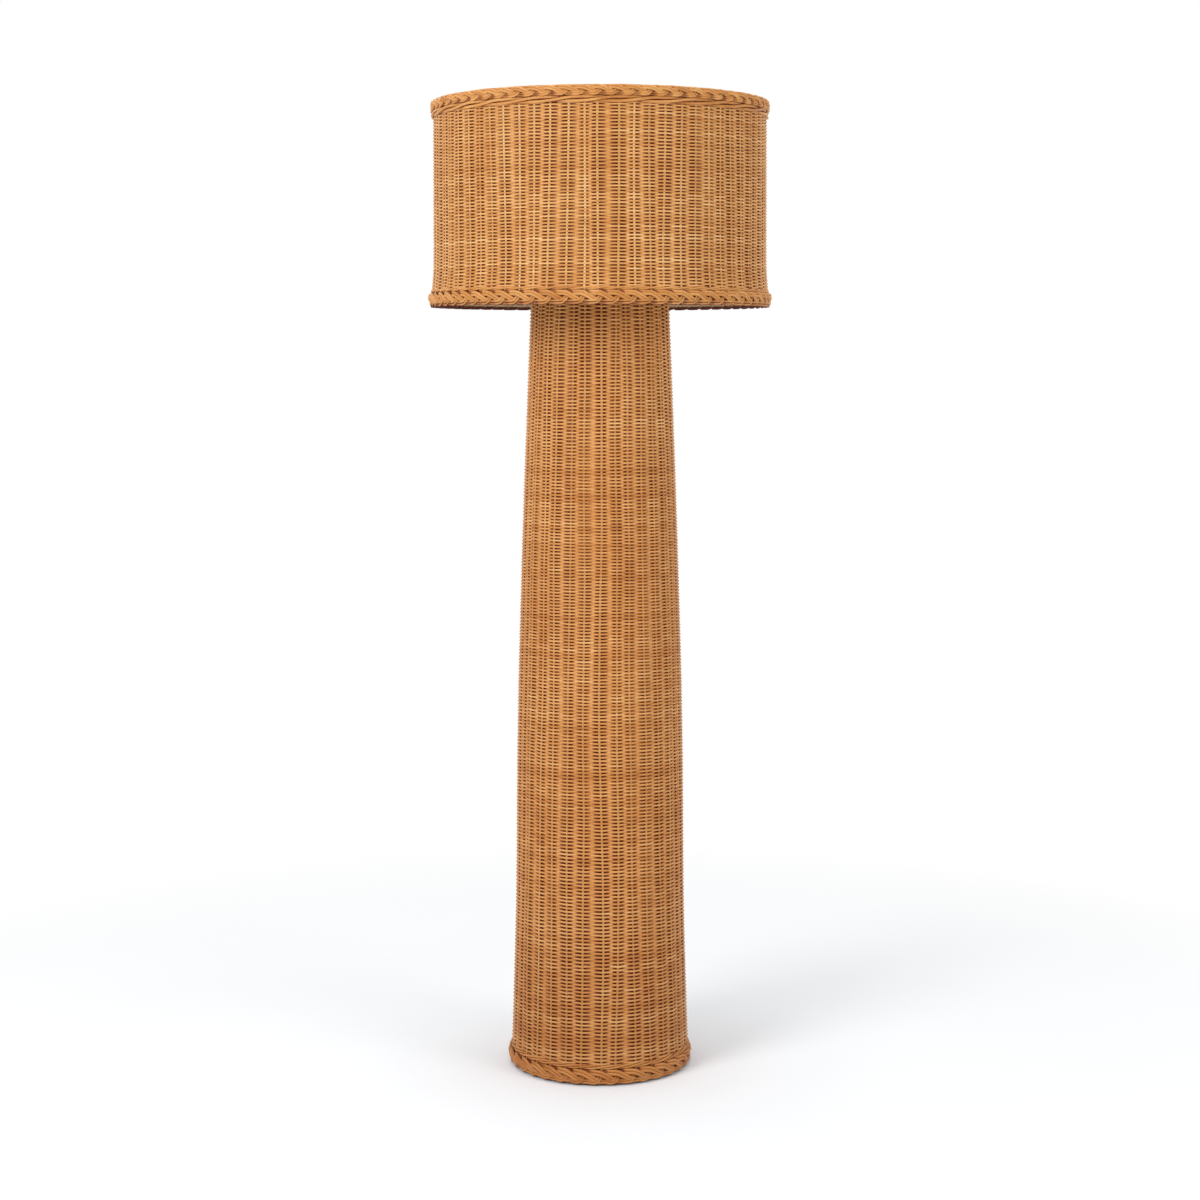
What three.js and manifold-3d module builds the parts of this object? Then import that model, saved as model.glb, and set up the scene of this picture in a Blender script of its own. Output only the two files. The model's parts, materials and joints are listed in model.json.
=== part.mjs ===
// Rattan floor lamp: a tapered woven column with a plaited foot, and a woven drum shade
// with plaited rims, carried by a harp over one bulb.
// Millimetres, +Z up. The origin lies on the floor, under the middle of the column.

import * as THREE from 'three';
import { mergeVertices } from 'three/addons/utils/BufferGeometryUtils.js';
import Module from 'manifold-3d';

const wasm = await Module();
wasm.setup();

// Fits between pieces
const seatGap = 0.3;
const turningFit = 0.4;
const cutOverrun = 4;

// Cane
const stakeDiameter = 4.6;
const columnWeaverDiameter = 2.7;
const shadeWeaverDiameter = 2.4;
const columnStakes = 32;
const shadeStakes = 66;
const waleHeight = 9;

// Woven column
const columnHeight = 1272;
const columnFootRadius = 143.5;
const columnTopRadius = 107;
const topBorderHeight = 10;

// Plaited foot
const footBraidHeight = 24;
const footBraidWidth = 13;
const footBraidInset = 8.5;
const footBraidStrands = 33;
const footStrandRelief = 2.6;

// Woven shade
const shadeHeight = 316;
const shadeRadius = 259;
const shadeFlare = 4.4;
const topBraidHeight = 28;
const bottomBraidHeight = 25;
const shadeBraidWidth = 12;
const shadeBraidInset = 7;
const shadeStrandRelief = 2;

// Foot
const padHeight = 3;
const padDiameter = 16;
const padChamfer = 0.8;
const boardThickness = 12;
const boardRecessDiameter = 38;
const boardRecessDepth = 8;
const weightThickness = 22;
const weightChamfer = 3;
const weightEdgeGap = 1;

// Pipe and its nuts
const pipeDiameter = 10.2;
const pipeBore = 7;
const nutAcrossFlats = 17;
const nutThickness = 5;
const washerDiameter = 30;
const washerThickness = 1.5;
const pipeEndInset = 0.6;
const pipeCordHole = 5.6;

// Inner frame of the column
const hoopRod = 8;
const uprightRod = 8;
const uprightCount = 4;
const capThickness = 9;
const capInset = 5;

// Cord inlet
const grommetHeight = 62;
const grommetBore = 7;
const grommetBarrel = 12;
const grommetFlange = 18;
const grommetFlangeThickness = 2.5;
const grommetTail = 3;

// Harp
const saddleThickness = 2;
const saddleWidth = 17;
const harpLegSpacing = 64;
const harpWire = 4;
const harpHeight = 201;
const harpPinHeight = 16;
const harpLegStraight = 32;
const harpLegPull = 62;
const harpShoulder = 112;
const sleeveDiameter = 8;
const sleeveLength = 20;

// Stud, spider and finial
const studFlangeDiameter = 14;
const studFlangeThickness = 3;
const studDiameter = 6;
const studLength = 13;
const hubDiameter = 26;
const hubThickness = 4;
const spiderRod = 4;
const spiderArms = 3;
const spiderDrop = 13.5;
const spiderRiseLength = 26;
const ringRod = 4;
const ringDepth = 22;
const bottomRingRise = 8;
const finialDiameter = 19;
const finialHeight = 24;
const finialNeckDiameter = 9;
const finialCollarHeight = 3;

// Socket
const socketCapHeight = 20;
const socketCapDiameter = 39;
const socketHubDiameter = 19;
const socketHubHeight = 5;
const socketWall = 1;
const shellDiameter = 35;
const shellHeight = 52;
const shellSeatDepth = 9;
const linerWall = 0.8;
const switchBodyHeight = 23;
const screwShellDiameter = 28;
const screwShellHeight = 25;
const screwShellWall = 0.8;
const keyHoleDiameter = 8;

// Turn knob
const knobAboveCap = 6;
const stemDiameter = 4.4;
const stemLength = 12;
const knobDiameter = 13;
const knobLength = 11;
const knobRibs = 10;
const knobRibDepth = 0.8;

// Bulb
const bulbBaseDiameter = 25.4;
const bulbBaseHeight = 24;
const bulbDiameter = 60;
const bulbGlassHeight = 82;
const bulbNeckDiameter = 27;

// Facets
const fineSides = 24;
const roundSides = 16;
const smallSides = 12;
const rodSides = 6;
const hoopSteps = 20;
const ringSteps = 24;
const harpSteps = 28;
const uprightSteps = 6;
const armSteps = 10;
const facetsPerStake = 3;
const facetsPerStrand = 2;

// The column swells slightly between foot and top, and flares at the foot. Each row is
// a share of the woven height and the share of the foot-to-top difference in radius.
const columnCurveShares = [
  [0, 1], [0.065, 0.915], [0.2, 0.79], [0.405, 0.704], [0.587, 0.542], [1, 0],
];
const columnBoreShares = [[0, 1], [0.2, 0.79], [0.587, 0.542], [1, 0]];

// The drum is straight but for its lower edge, which flares over the last quarter.
const shadeCurveShares = [[0, 1], [0.16, 0.3], [1, 0]];
const shadeBoreShares = [[0, 1], [1, 0]];

const hoopHeightShares = [0.25, 0.5, 0.75];

// Section of a plait, as shares of its width and of half its height, from the bottom of
// its flat inner side, over the outer side, to the top.
const braidSectionShares = [[0, -1], [0.85, -0.62], [1, 0], [0.85, 0.62], [0, 1]];
// How far the strands lean back from the middle of the plait, as a share of one strand.
const strandLeanShare = 0.9;

// Sizes that follow from the ones above
const columnWall = stakeDiameter + 2 * columnWeaverDiameter;
const shadeWall = stakeDiameter + 2 * shadeWeaverDiameter;
const columnRibDepth = (stakeDiameter + columnWeaverDiameter) / 2;
const shadeRibDepth = (stakeDiameter + shadeWeaverDiameter) / 2;

const footBraidBoreRadius = columnFootRadius - footBraidInset;
const topBraidBoreRadius = shadeRadius - shadeBraidInset;
const bottomBraidBoreRadius = shadeRadius + shadeFlare - shadeBraidInset;

const columnBottomZ = padHeight;
const columnTopZ = columnBottomZ + columnHeight;
const weaveBottomZ = columnBottomZ + footBraidHeight + seatGap;
const weaveTopZ = columnTopZ - topBorderHeight - seatGap;

const boardBottomZ = padHeight + seatGap;
const boardTopZ = boardBottomZ + boardThickness;
const boardRadius = footBraidBoreRadius - seatGap;
const weightBottomZ = boardTopZ + seatGap;
const weightTopZ = weightBottomZ + weightThickness;

const capTopZ = columnTopZ - capInset;
const capBottomZ = capTopZ - capThickness;
const pipeHole = pipeDiameter / 2 + seatGap;
const topWasherZ = capTopZ + seatGap;
const topNutZ = topWasherZ + washerThickness + seatGap;
const saddleZ = topNutZ + nutThickness + seatGap;
const saddleTopZ = saddleZ + saddleThickness;
const socketZ = saddleTopZ + seatGap;
const pipeTopZ = socketZ + socketHubHeight;

const harpFootZ = saddleTopZ + harpPinHeight + seatGap;
const harpTopZ = saddleTopZ + harpHeight;
const studZ = harpTopZ + harpWire / 2 + seatGap;
const hubZ = studZ + studFlangeThickness + seatGap;
const finialZ = hubZ + hubThickness + seatGap;
const hubMiddleZ = hubZ + hubThickness / 2;
const topRingZ = hubMiddleZ + spiderDrop;
const shadeTopZ = topRingZ + ringDepth;
const shadeBottomZ = shadeTopZ - shadeHeight;
const shadeWeaveBottomZ = shadeBottomZ + bottomBraidHeight + seatGap;
const shadeWeaveTopZ = shadeTopZ - topBraidHeight - seatGap;
const topRingRadius = topBraidBoreRadius - seatGap - ringRod / 2;

const shellZ = socketZ + socketCapHeight - shellSeatDepth;
const switchZ = shellZ;
const screwShellZ = switchZ + switchBodyHeight + seatGap;
const bulbBaseZ = screwShellZ + screwShellWall + seatGap;
const glassZ = bulbBaseZ + bulbBaseHeight + seatGap;
const knobZ = socketZ + socketCapHeight + knobAboveCap;

// Finishes
const cane = { color: 0xc8924f, roughness: 0.42, metalness: 0 };
const darkCane = { color: 0xb57c3c, roughness: 0.42, metalness: 0 };
const paleCane = { color: 0xd8b27a, roughness: 0.6, metalness: 0 };
const plywood = { color: 0xc9a877, roughness: 0.7, metalness: 0 };
const blackSteel = { color: 0x2b2a29, roughness: 0.45, metalness: 0.7 };
const zincSteel = { color: 0xb9bcc0, roughness: 0.35, metalness: 0.9 };
const brass = { color: 0xb98a3e, roughness: 0.3, metalness: 0.95 };
const castIron = { color: 0x45423f, roughness: 0.75, metalness: 0.6 };
const rubber = { color: 0x1c1b1a, roughness: 0.85, metalness: 0 };
const phenolic = { color: 0x1e1b19, roughness: 0.4, metalness: 0 };
const fibreBoard = { color: 0x9a7a55, roughness: 0.9, metalness: 0 };
const opalGlass = { color: 0xf3f0e8, roughness: 0.25, metalness: 0 };

function piece(name, geometry, finish) {
  const mesh = new THREE.Mesh(geometry, new THREE.MeshStandardMaterial(finish));
  mesh.name = name;
  return mesh;
}

// A solid turned about +Z from an outline of [radius, height] that starts and ends on the axis.
function turned(outline, sides) {
  const points = outline.map(([radius, height]) => new THREE.Vector2(radius, height));
  return new THREE.LatheGeometry(points, sides).rotateX(Math.PI / 2);
}

// A turned ring, whose outline closes on itself.
function turnedRing(outline, sides) {
  return turned([...outline, outline[0]], sides);
}

function circleOutline(radius, height, rod, sides) {
  const outline = [];
  for (let side = 0; side < sides; side += 1) {
    const angle = (2 * Math.PI * side) / sides;
    outline.push([radius + (Math.cos(angle) * rod) / 2, height + (Math.sin(angle) * rod) / 2]);
  }
  return outline;
}

function wireRing(radius, height, rod, steps) {
  return turnedRing(circleOutline(radius, height, rod, rodSides), steps);
}

// A flat ring between two radii.
function washerRing(innerRadius, outerRadius, thickness, sides) {
  const outline = [
    [outerRadius, 0], [outerRadius, thickness], [innerRadius, thickness], [innerRadius, 0],
  ];
  return turnedRing(outline, sides);
}

function polygonShape(radius, sides) {
  const corners = [];
  for (let side = 0; side < sides; side += 1) {
    const angle = (2 * Math.PI * side) / sides;
    corners.push(new THREE.Vector2(radius * Math.cos(angle), radius * Math.sin(angle)));
  }
  return new THREE.Shape(corners);
}

function rodAlong(curve, rod, steps) {
  return new THREE.ExtrudeGeometry(polygonShape(rod / 2, rodSides), {
    steps, extrudePath: curve, bevelEnabled: false,
  });
}

// A closed shape with shared corners, ready to be cut or joined.
function toSolid(geometry) {
  const shared = geometry.clone();
  shared.deleteAttribute('normal');
  shared.deleteAttribute('uv');
  const merged = mergeVertices(shared);
  const corners = merged.index.array;
  const kept = [];
  for (let i = 0; i < corners.length; i += 3) {
    const [a, b, c] = [corners[i], corners[i + 1], corners[i + 2]];
    if (a !== b && b !== c && c !== a) {
      kept.push(a, b, c);
    }
  }
  return new wasm.Manifold(new wasm.Mesh({
    numProp: 3,
    vertProperties: Float32Array.from(merged.attributes.position.array),
    triVerts: Uint32Array.from(kept),
  }));
}

function toGeometry(solid) {
  const result = solid.getMesh();
  const geometry = new THREE.BufferGeometry();
  geometry.setAttribute('position', new THREE.BufferAttribute(result.vertProperties, 3));
  geometry.setIndex(new THREE.BufferAttribute(result.triVerts, 1));
  geometry.computeVertexNormals();
  return geometry;
}

// Value at a height, on straight lines between the rows of a table of shares.
function shareAt(rows, heightShare) {
  const next = Math.max(1, rows.findIndex(([height]) => height >= heightShare));
  const [lowHeight, lowValue] = rows[next - 1];
  const [highHeight, highValue] = rows[next];
  const along = (heightShare - lowHeight) / (highHeight - lowHeight);
  return lowValue + (highValue - lowValue) * along;
}

function columnRadius(z) {
  const heightShare = (z - weaveBottomZ) / (weaveTopZ - weaveBottomZ);
  return columnTopRadius
    + (columnFootRadius - columnTopRadius) * shareAt(columnCurveShares, heightShare);
}

function columnBoreRadius(z) {
  const heightShare = (z - weaveBottomZ) / (weaveTopZ - weaveBottomZ);
  return columnTopRadius - columnWall
    + (columnFootRadius - columnTopRadius) * shareAt(columnBoreShares, heightShare);
}

function shadeRadiusAt(z) {
  const heightShare = (z - shadeWeaveBottomZ) / (shadeWeaveTopZ - shadeWeaveBottomZ);
  return shadeRadius + shadeFlare * shareAt(shadeCurveShares, heightShare);
}

function shadeBoreRadius(z) {
  const heightShare = (z - shadeWeaveBottomZ) / (shadeWeaveTopZ - shadeWeaveBottomZ);
  return shadeRadius - shadeWall + shadeFlare * shareAt(shadeBoreShares, heightShare);
}

// A woven wall, between the levels of its outer and of its inner skin. The outer skin
// stands proud in a narrow ridge over each stake, and lies flat between the ridges. Where
// a level isn't ribbed, the waling fills the wall out to the height of the ridges.
function wovenWall(outer, inner, stakes, ribDepth, weaverDiameter) {
  const outline = [
    ...outer.map(({ radius, z }) => [radius, z]),
    ...inner.map(({ radius, z }) => [radius, z]).reverse(),
  ];
  const geometry = turnedRing(outline, stakes * facetsPerStake);
  const place = geometry.attributes.position;
  const pointsPerStep = outline.length + 1;
  const bay = (2 * Math.PI) / stakes;
  for (let i = 0; i < place.count; i += 1) {
    const step = Math.floor(i / pointsPerStep);
    const level = (i % pointsPerStep) % outline.length;
    if (level < outer.length) {
      const { radius, ribbed } = outer[level];
      const ridge = (stakeDiameter / 2 + weaverDiameter) / radius;
      const angle = bay * Math.floor(step / facetsPerStake)
        + [0, ridge, bay - ridge][step % facetsPerStake];
      const reach = ribbed && step % facetsPerStake !== 0 ? radius - ribDepth : radius;
      place.setXY(i, reach * Math.sin(angle), -reach * Math.cos(angle));
    }
  }
  return geometry;
}

// A plait of three strands laid round a rim. Strands cross at the middle of the outer
// side and lean back towards the edges, so its face is a row of chevrons.
function plaitedRim(boreRadius, bottomZ, height, width, strands, relief) {
  const middleZ = bottomZ + height / 2;
  const outline = braidSectionShares.map(([across, up]) => [
    boreRadius + across * width, middleZ + (up * height) / 2,
  ]);
  const steps = strands * facetsPerStrand;
  const geometry = turnedRing(outline, steps);
  const place = geometry.attributes.position;
  const pointsPerStep = outline.length + 1;
  const strandAngle = (2 * Math.PI) / strands;
  for (let i = 0; i < place.count; i += 1) {
    const step = Math.floor(i / pointsPerStep);
    const [across, up] = braidSectionShares[(i % pointsPerStep) % braidSectionShares.length];
    const angle = Math.atan2(place.getY(i), place.getX(i))
      - strandLeanShare * strandAngle * Math.abs(up);
    const sunk = across > 0 && step % facetsPerStrand !== 0 ? relief : 0;
    const reach = Math.hypot(place.getX(i), place.getY(i)) - sunk;
    place.setXY(i, reach * Math.cos(angle), reach * Math.sin(angle));
  }
  return geometry;
}

function columnWeave() {
  const heightOf = (share) => weaveBottomZ + (weaveTopZ - weaveBottomZ) * share;
  const heights = [
    weaveBottomZ, weaveBottomZ + waleHeight,
    ...columnCurveShares.slice(1).map(([share]) => heightOf(share)),
  ];
  const outer = heights.map((z) => ({ radius: columnRadius(z), z, ribbed: z > weaveBottomZ }));
  const inner = columnBoreShares.map(([share]) => {
    const z = heightOf(share);
    return { radius: columnBoreRadius(z), z };
  });
  const wall = wovenWall(outer, inner, columnStakes, columnRibDepth, columnWeaverDiameter);
  return piece('column_weave', toGeometry(toSolid(wall).subtract(toSolid(inletCut()))), cane);
}

// The cord inlet runs straight back, through the gap between the two stakes at the back.
const inletRadius = columnRadius(grommetHeight) - columnRibDepth;
const inletX = -inletRadius * Math.sin(Math.PI / columnStakes);
const inletSeatY = inletRadius * Math.cos(Math.PI / columnStakes);

function faceBack(geometry) {
  return geometry.rotateX(-Math.PI / 2).translate(0, 0, grommetHeight);
}

// The cut is a hole through the wall, with a flat seat for the flange.
function inletCut() {
  const hole = grommetBarrel / 2 + seatGap;
  const seat = grommetFlange / 2 + seatGap;
  const innerEnd = inletSeatY - columnWall - cutOverrun;
  const outerEnd = inletSeatY + columnRibDepth + cutOverrun;
  const outline = [
    [0, innerEnd], [hole, innerEnd], [hole, inletSeatY - seatGap],
    [seat, inletSeatY - seatGap], [seat, outerEnd], [0, outerEnd],
  ];
  return faceBack(turned(outline, roundSides)).translate(inletX, 0, 0);
}

function cordGrommet() {
  const barrel = grommetBarrel / 2;
  const flange = grommetFlange / 2;
  const bore = grommetBore / 2;
  const innerEnd = inletSeatY - columnWall - grommetTail;
  const outerEnd = inletSeatY + grommetFlangeThickness;
  const outline = [
    [barrel, innerEnd], [barrel, inletSeatY], [flange, inletSeatY],
    [flange, inletSeatY + grommetFlangeThickness / 2], [barrel, outerEnd],
    [bore, outerEnd], [bore, innerEnd],
  ];
  const geometry = faceBack(turnedRing(outline, roundSides)).translate(inletX, 0, 0);
  return piece('cord_grommet', geometry, rubber);
}

function columnFootBraid() {
  const geometry = plaitedRim(
    footBraidBoreRadius, columnBottomZ, footBraidHeight, footBraidWidth,
    footBraidStrands, footStrandRelief,
  );
  return piece('column_foot_braid', geometry, darkCane);
}

function columnTopBorder() {
  const bottomZ = columnTopZ - topBorderHeight;
  const bore = columnTopRadius - columnWall;
  const rounding = columnWall / 4;
  const outline = [
    [bore, bottomZ], [columnTopRadius, bottomZ],
    [columnTopRadius, columnTopZ - rounding], [columnTopRadius - rounding, columnTopZ],
    [bore, columnTopZ],
  ];
  return piece('column_top_border', turnedRing(outline, fineSides), darkCane);
}

function shadeWeave() {
  const heightOf = (share) => shadeWeaveBottomZ + (shadeWeaveTopZ - shadeWeaveBottomZ) * share;
  const heights = [
    shadeWeaveBottomZ, shadeWeaveBottomZ + waleHeight,
    ...shadeCurveShares.slice(1, -1).map(([share]) => heightOf(share)),
    shadeWeaveTopZ - waleHeight, shadeWeaveTopZ,
  ];
  const outer = heights.map((z) => ({
    radius: shadeRadiusAt(z), z, ribbed: z > shadeWeaveBottomZ && z < shadeWeaveTopZ,
  }));
  const inner = shadeBoreShares.map(([share]) => {
    const z = heightOf(share);
    return { radius: shadeBoreRadius(z), z };
  });
  const wall = wovenWall(outer, inner, shadeStakes, shadeRibDepth, shadeWeaverDiameter);
  return piece('shade_weave', wall, cane);
}

function shadeTopBraid() {
  const geometry = plaitedRim(
    topBraidBoreRadius, shadeTopZ - topBraidHeight, topBraidHeight, shadeBraidWidth,
    shadeStakes, shadeStrandRelief,
  );
  return piece('shade_top_braid', geometry, darkCane);
}

function shadeBottomBraid() {
  const geometry = plaitedRim(
    bottomBraidBoreRadius, shadeBottomZ, bottomBraidHeight, shadeBraidWidth,
    shadeStakes, shadeStrandRelief,
  );
  return piece('shade_bottom_braid', geometry, darkCane);
}

function footPad(index) {
  const radius = padDiameter / 2;
  const outline = [
    [0, 0], [radius - padChamfer, 0], [radius, padChamfer], [radius, padHeight], [0, padHeight],
  ];
  const reach = boardRadius - padDiameter;
  const angle = Math.PI / 4 + (index * Math.PI) / 2;
  const geometry = turned(outline, smallSides)
    .translate(reach * Math.cos(angle), reach * Math.sin(angle), 0);
  return piece(`foot_pad_${index + 1}`, geometry, rubber);
}

function baseBoard() {
  const recess = boardRecessDiameter / 2;
  const outline = [
    [recess, boardBottomZ], [boardRadius, boardBottomZ], [boardRadius, boardTopZ],
    [pipeHole, boardTopZ], [pipeHole, boardBottomZ + boardRecessDepth],
    [recess, boardBottomZ + boardRecessDepth],
  ];
  return piece('base_board', turnedRing(outline, fineSides), plywood);
}

// The uprights stand on the flats of the hoops' facets.
function uprightReach(z) {
  const hoopRadius = columnBoreRadius(z) - seatGap - hoopRod / 2;
  return hoopRadius * Math.cos(Math.PI / hoopSteps) - hoopRod / 2 - seatGap - uprightRod / 2;
}

function baseWeight() {
  const radius = uprightReach(weaveBottomZ) - uprightRod / 2 - weightEdgeGap;
  const outline = [
    [radius, weightBottomZ], [radius, weightTopZ - weightChamfer],
    [radius - weightChamfer, weightTopZ], [pipeHole, weightTopZ], [pipeHole, weightBottomZ],
  ];
  return piece('base_weight', turnedRing(outline, fineSides), castIron);
}

const bottomWasherZ = boardBottomZ + boardRecessDepth - seatGap - washerThickness;
const bottomNutZ = bottomWasherZ - seatGap - nutThickness;
const weightNutZ = weightTopZ + seatGap;

// The pipe has a hole at the back, level with the inlet, where the cord goes in.
function centerPipe() {
  const tube = washerRing(
    pipeBore / 2, pipeDiameter / 2, pipeTopZ - bottomNutZ - pipeEndInset, roundSides,
  ).translate(0, 0, bottomNutZ + pipeEndInset);
  const hole = pipeCordHole / 2;
  const reach = pipeDiameter / 2 + cutOverrun;
  const cut = faceBack(turned([[0, 0], [hole, 0], [hole, reach], [0, reach]], smallSides));
  return piece('center_pipe', toGeometry(toSolid(tube).subtract(toSolid(cut))), zincSteel);
}

function lockNut(name, z) {
  const shape = polygonShape(nutAcrossFlats / 2 / Math.cos(Math.PI / 6), 6);
  shape.holes.push(polygonShape(pipeHole / Math.cos(Math.PI / roundSides), roundSides));
  const geometry = new THREE.ExtrudeGeometry(shape, { depth: nutThickness, bevelEnabled: false });
  return piece(name, geometry.translate(0, 0, z), zincSteel);
}

function pipeWasher(name, z) {
  const geometry = washerRing(pipeHole, washerDiameter / 2, washerThickness, roundSides);
  return piece(name, geometry.translate(0, 0, z), zincSteel);
}

// Bottom hoop on the board, three hoops at shares of the height, and one under the cap.
function frameHoops() {
  const bottomZ = boardTopZ + seatGap + hoopRod / 2;
  const topZ = capBottomZ - seatGap - hoopRod / 2;
  const heights = [
    bottomZ,
    ...hoopHeightShares.map((share) => weaveBottomZ + (weaveTopZ - weaveBottomZ) * share),
    topZ,
  ];
  const names = ['foot', 'lower', 'middle', 'upper', 'top'];
  return heights.map((z, index) => {
    const wall = index === 0 ? footBraidBoreRadius : columnBoreRadius(z);
    const geometry = wireRing(wall - seatGap - hoopRod / 2, z, hoopRod, hoopSteps);
    return piece(`frame_hoop_${names[index]}`, geometry, blackSteel);
  });
}

// A rod that runs up inside the hoops, from the board to the cap.
function frameUpright(index) {
  const lowZ = boardTopZ + seatGap;
  const highZ = capBottomZ - seatGap;
  const points = [];
  for (let step = 0; step <= uprightSteps; step += 1) {
    const z = lowZ + ((highZ - lowZ) * step) / uprightSteps;
    points.push(new THREE.Vector3(uprightReach(Math.max(z, weaveBottomZ)), 0, z));
  }
  const angle = Math.PI / 4 + (index * 2 * Math.PI) / uprightCount;
  const geometry = rodAlong(new THREE.CatmullRomCurve3(points), uprightRod, uprightSteps);
  return piece(`frame_upright_${index + 1}`, geometry.rotateZ(angle), blackSteel);
}

function columnTopCap() {
  const radius = columnTopRadius - columnWall - seatGap;
  const geometry = washerRing(pipeHole, radius, capThickness, fineSides);
  return piece('column_top_cap', geometry.translate(0, 0, capBottomZ), plywood);
}

// A strip with round ends, from one end's arc to the other's.
function roundEndedStrip(halfLength, halfWidth) {
  const corners = [];
  for (const side of [1, -1]) {
    for (let step = 0; step <= smallSides / 2; step += 1) {
      const angle = (-side * Math.PI) / 2 + (Math.PI * step) / (smallSides / 2);
      corners.push(new THREE.Vector2(
        side * halfLength + halfWidth * Math.cos(angle), halfWidth * Math.sin(angle),
      ));
    }
  }
  return new THREE.Shape(corners);
}

// The saddle is a strip under the socket whose two ends stand up as pins.
function harpSaddle() {
  const half = harpLegSpacing / 2;
  const strip = roundEndedStrip(half, saddleWidth / 2);
  strip.holes.push(polygonShape(pipeHole / Math.cos(Math.PI / roundSides), roundSides));
  const plate = new THREE.ExtrudeGeometry(strip, { depth: saddleThickness, bevelEnabled: false });
  let solid = toSolid(plate.translate(0, 0, saddleZ));
  for (const side of [-1, 1]) {
    const length = saddleThickness / 2 + harpPinHeight;
    const pin = turned([[0, 0], [harpWire / 2, 0], [harpWire / 2, length], [0, length]], smallSides);
    solid = solid.add(toSolid(pin.translate(side * half, 0, saddleTopZ - saddleThickness / 2)));
  }
  return piece('harp_saddle', toGeometry(solid), brass);
}

function harp() {
  const half = harpLegSpacing / 2;
  const bendZ = harpFootZ + harpLegStraight;
  const at = (x, z) => new THREE.Vector3(x, 0, z);
  const path = new THREE.CurvePath();
  path.add(new THREE.LineCurve3(at(-half, harpFootZ), at(-half, bendZ)));
  path.add(new THREE.CubicBezierCurve3(
    at(-half, bendZ), at(-half, bendZ + harpLegPull), at(-harpShoulder, harpTopZ), at(0, harpTopZ),
  ));
  path.add(new THREE.CubicBezierCurve3(
    at(0, harpTopZ), at(harpShoulder, harpTopZ), at(half, bendZ + harpLegPull), at(half, bendZ),
  ));
  path.add(new THREE.LineCurve3(at(half, bendZ), at(half, harpFootZ)));
  return piece('harp', rodAlong(path, harpWire, harpSteps), brass);
}

function harpSleeve(name, side) {
  const geometry = washerRing(
    harpWire / 2 + turningFit, sleeveDiameter / 2, sleeveLength, smallSides,
  );
  geometry.translate((side * harpLegSpacing) / 2, 0, saddleTopZ + seatGap);
  return piece(name, geometry, brass);
}

function harpStud() {
  const flange = studFlangeDiameter / 2;
  const stud = studDiameter / 2;
  const outline = [
    [0, 0], [flange, 0], [flange, studFlangeThickness], [stud, studFlangeThickness],
    [stud, studFlangeThickness + studLength], [0, studFlangeThickness + studLength],
  ];
  return piece('harp_stud', turned(outline, smallSides).translate(0, 0, studZ), brass);
}

function spiderHub() {
  const geometry = washerRing(
    studDiameter / 2 + turningFit, hubDiameter / 2, hubThickness, roundSides,
  );
  return piece('spider_hub', geometry.translate(0, 0, hubZ), brass);
}

// Each arm runs level from the hub, then rises to the top ring.
function spiderArm(index) {
  const start = hubDiameter / 2 + seatGap;
  const ringFall = (spiderRod / 2) * Math.tan(Math.PI / ringSteps);
  const end = topRingRadius - ringRod / 2 - seatGap - ringFall;
  const riseStart = end - spiderRiseLength;
  const at = (reach, z) => new THREE.Vector3(reach, 0, z);
  const path = new THREE.CurvePath();
  path.add(new THREE.LineCurve3(at(start, hubMiddleZ), at(riseStart, hubMiddleZ)));
  path.add(new THREE.CubicBezierCurve3(
    at(riseStart, hubMiddleZ), at(riseStart + spiderRiseLength / 2, hubMiddleZ),
    at(end - spiderRiseLength / 2, topRingZ), at(end, topRingZ),
  ));
  const geometry = rodAlong(path, spiderRod, armSteps);
  const angle = Math.PI / 2 + (index * 2 * Math.PI) / spiderArms;
  return piece(`spider_arm_${index + 1}`, geometry.rotateZ(angle), brass);
}

function shadeTopRing() {
  return piece('shade_top_ring', wireRing(topRingRadius, topRingZ, ringRod, ringSteps), brass);
}

function shadeBottomRing() {
  const z = shadeWeaveBottomZ + bottomRingRise;
  const radius = shadeBoreRadius(z) - seatGap - ringRod / 2;
  return piece('shade_bottom_ring', wireRing(radius, z, ringRod, ringSteps), brass);
}

// Turned finial with a blind hole for the stud.
function finial() {
  const bore = studDiameter / 2 + turningFit;
  const boreRoof = studLength;
  const collar = finialDiameter / 2;
  const neck = finialNeckDiameter / 2 + bore / 2;
  const domeShares = [[0.8, 0.2], [1, 0.45], [0.85, 0.75], [0.45, 0.95]];
  const domeHeight = finialHeight - finialCollarHeight * 2;
  const outline = [
    [0, boreRoof], [bore, boreRoof], [bore, 0], [collar, 0], [collar, finialCollarHeight],
    [neck, finialCollarHeight * 2],
    ...domeShares.map(([across, up]) => [collar * across, finialCollarHeight * 2 + domeHeight * up]),
    [0, finialHeight],
  ];
  return piece('finial', turned(outline, smallSides).translate(0, 0, finialZ), brass);
}

function socketCap() {
  const rim = socketCapDiameter / 2;
  const hub = socketHubDiameter / 2;
  const seatZ = socketCapHeight - shellSeatDepth - seatGap;
  const outline = [
    [hub, 0], [hub, socketHubHeight], [rim, seatZ], [rim, socketCapHeight],
    [shellDiameter / 2 + seatGap, socketCapHeight], [shellDiameter / 2 + seatGap, seatZ],
    [pipeHole, socketHubHeight], [pipeHole, 0],
  ];
  return piece('socket_cap', turnedRing(outline, roundSides).translate(0, 0, socketZ), brass);
}

// The shell has a round hole in its front for the stem of the knob.
function socketShell() {
  const outer = shellDiameter / 2;
  const tube = washerRing(outer - socketWall, outer, shellHeight, roundSides)
    .translate(0, 0, shellZ);
  return piece('socket_shell', toGeometry(toSolid(tube).subtract(toSolid(keyHole()))), brass);
}

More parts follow.
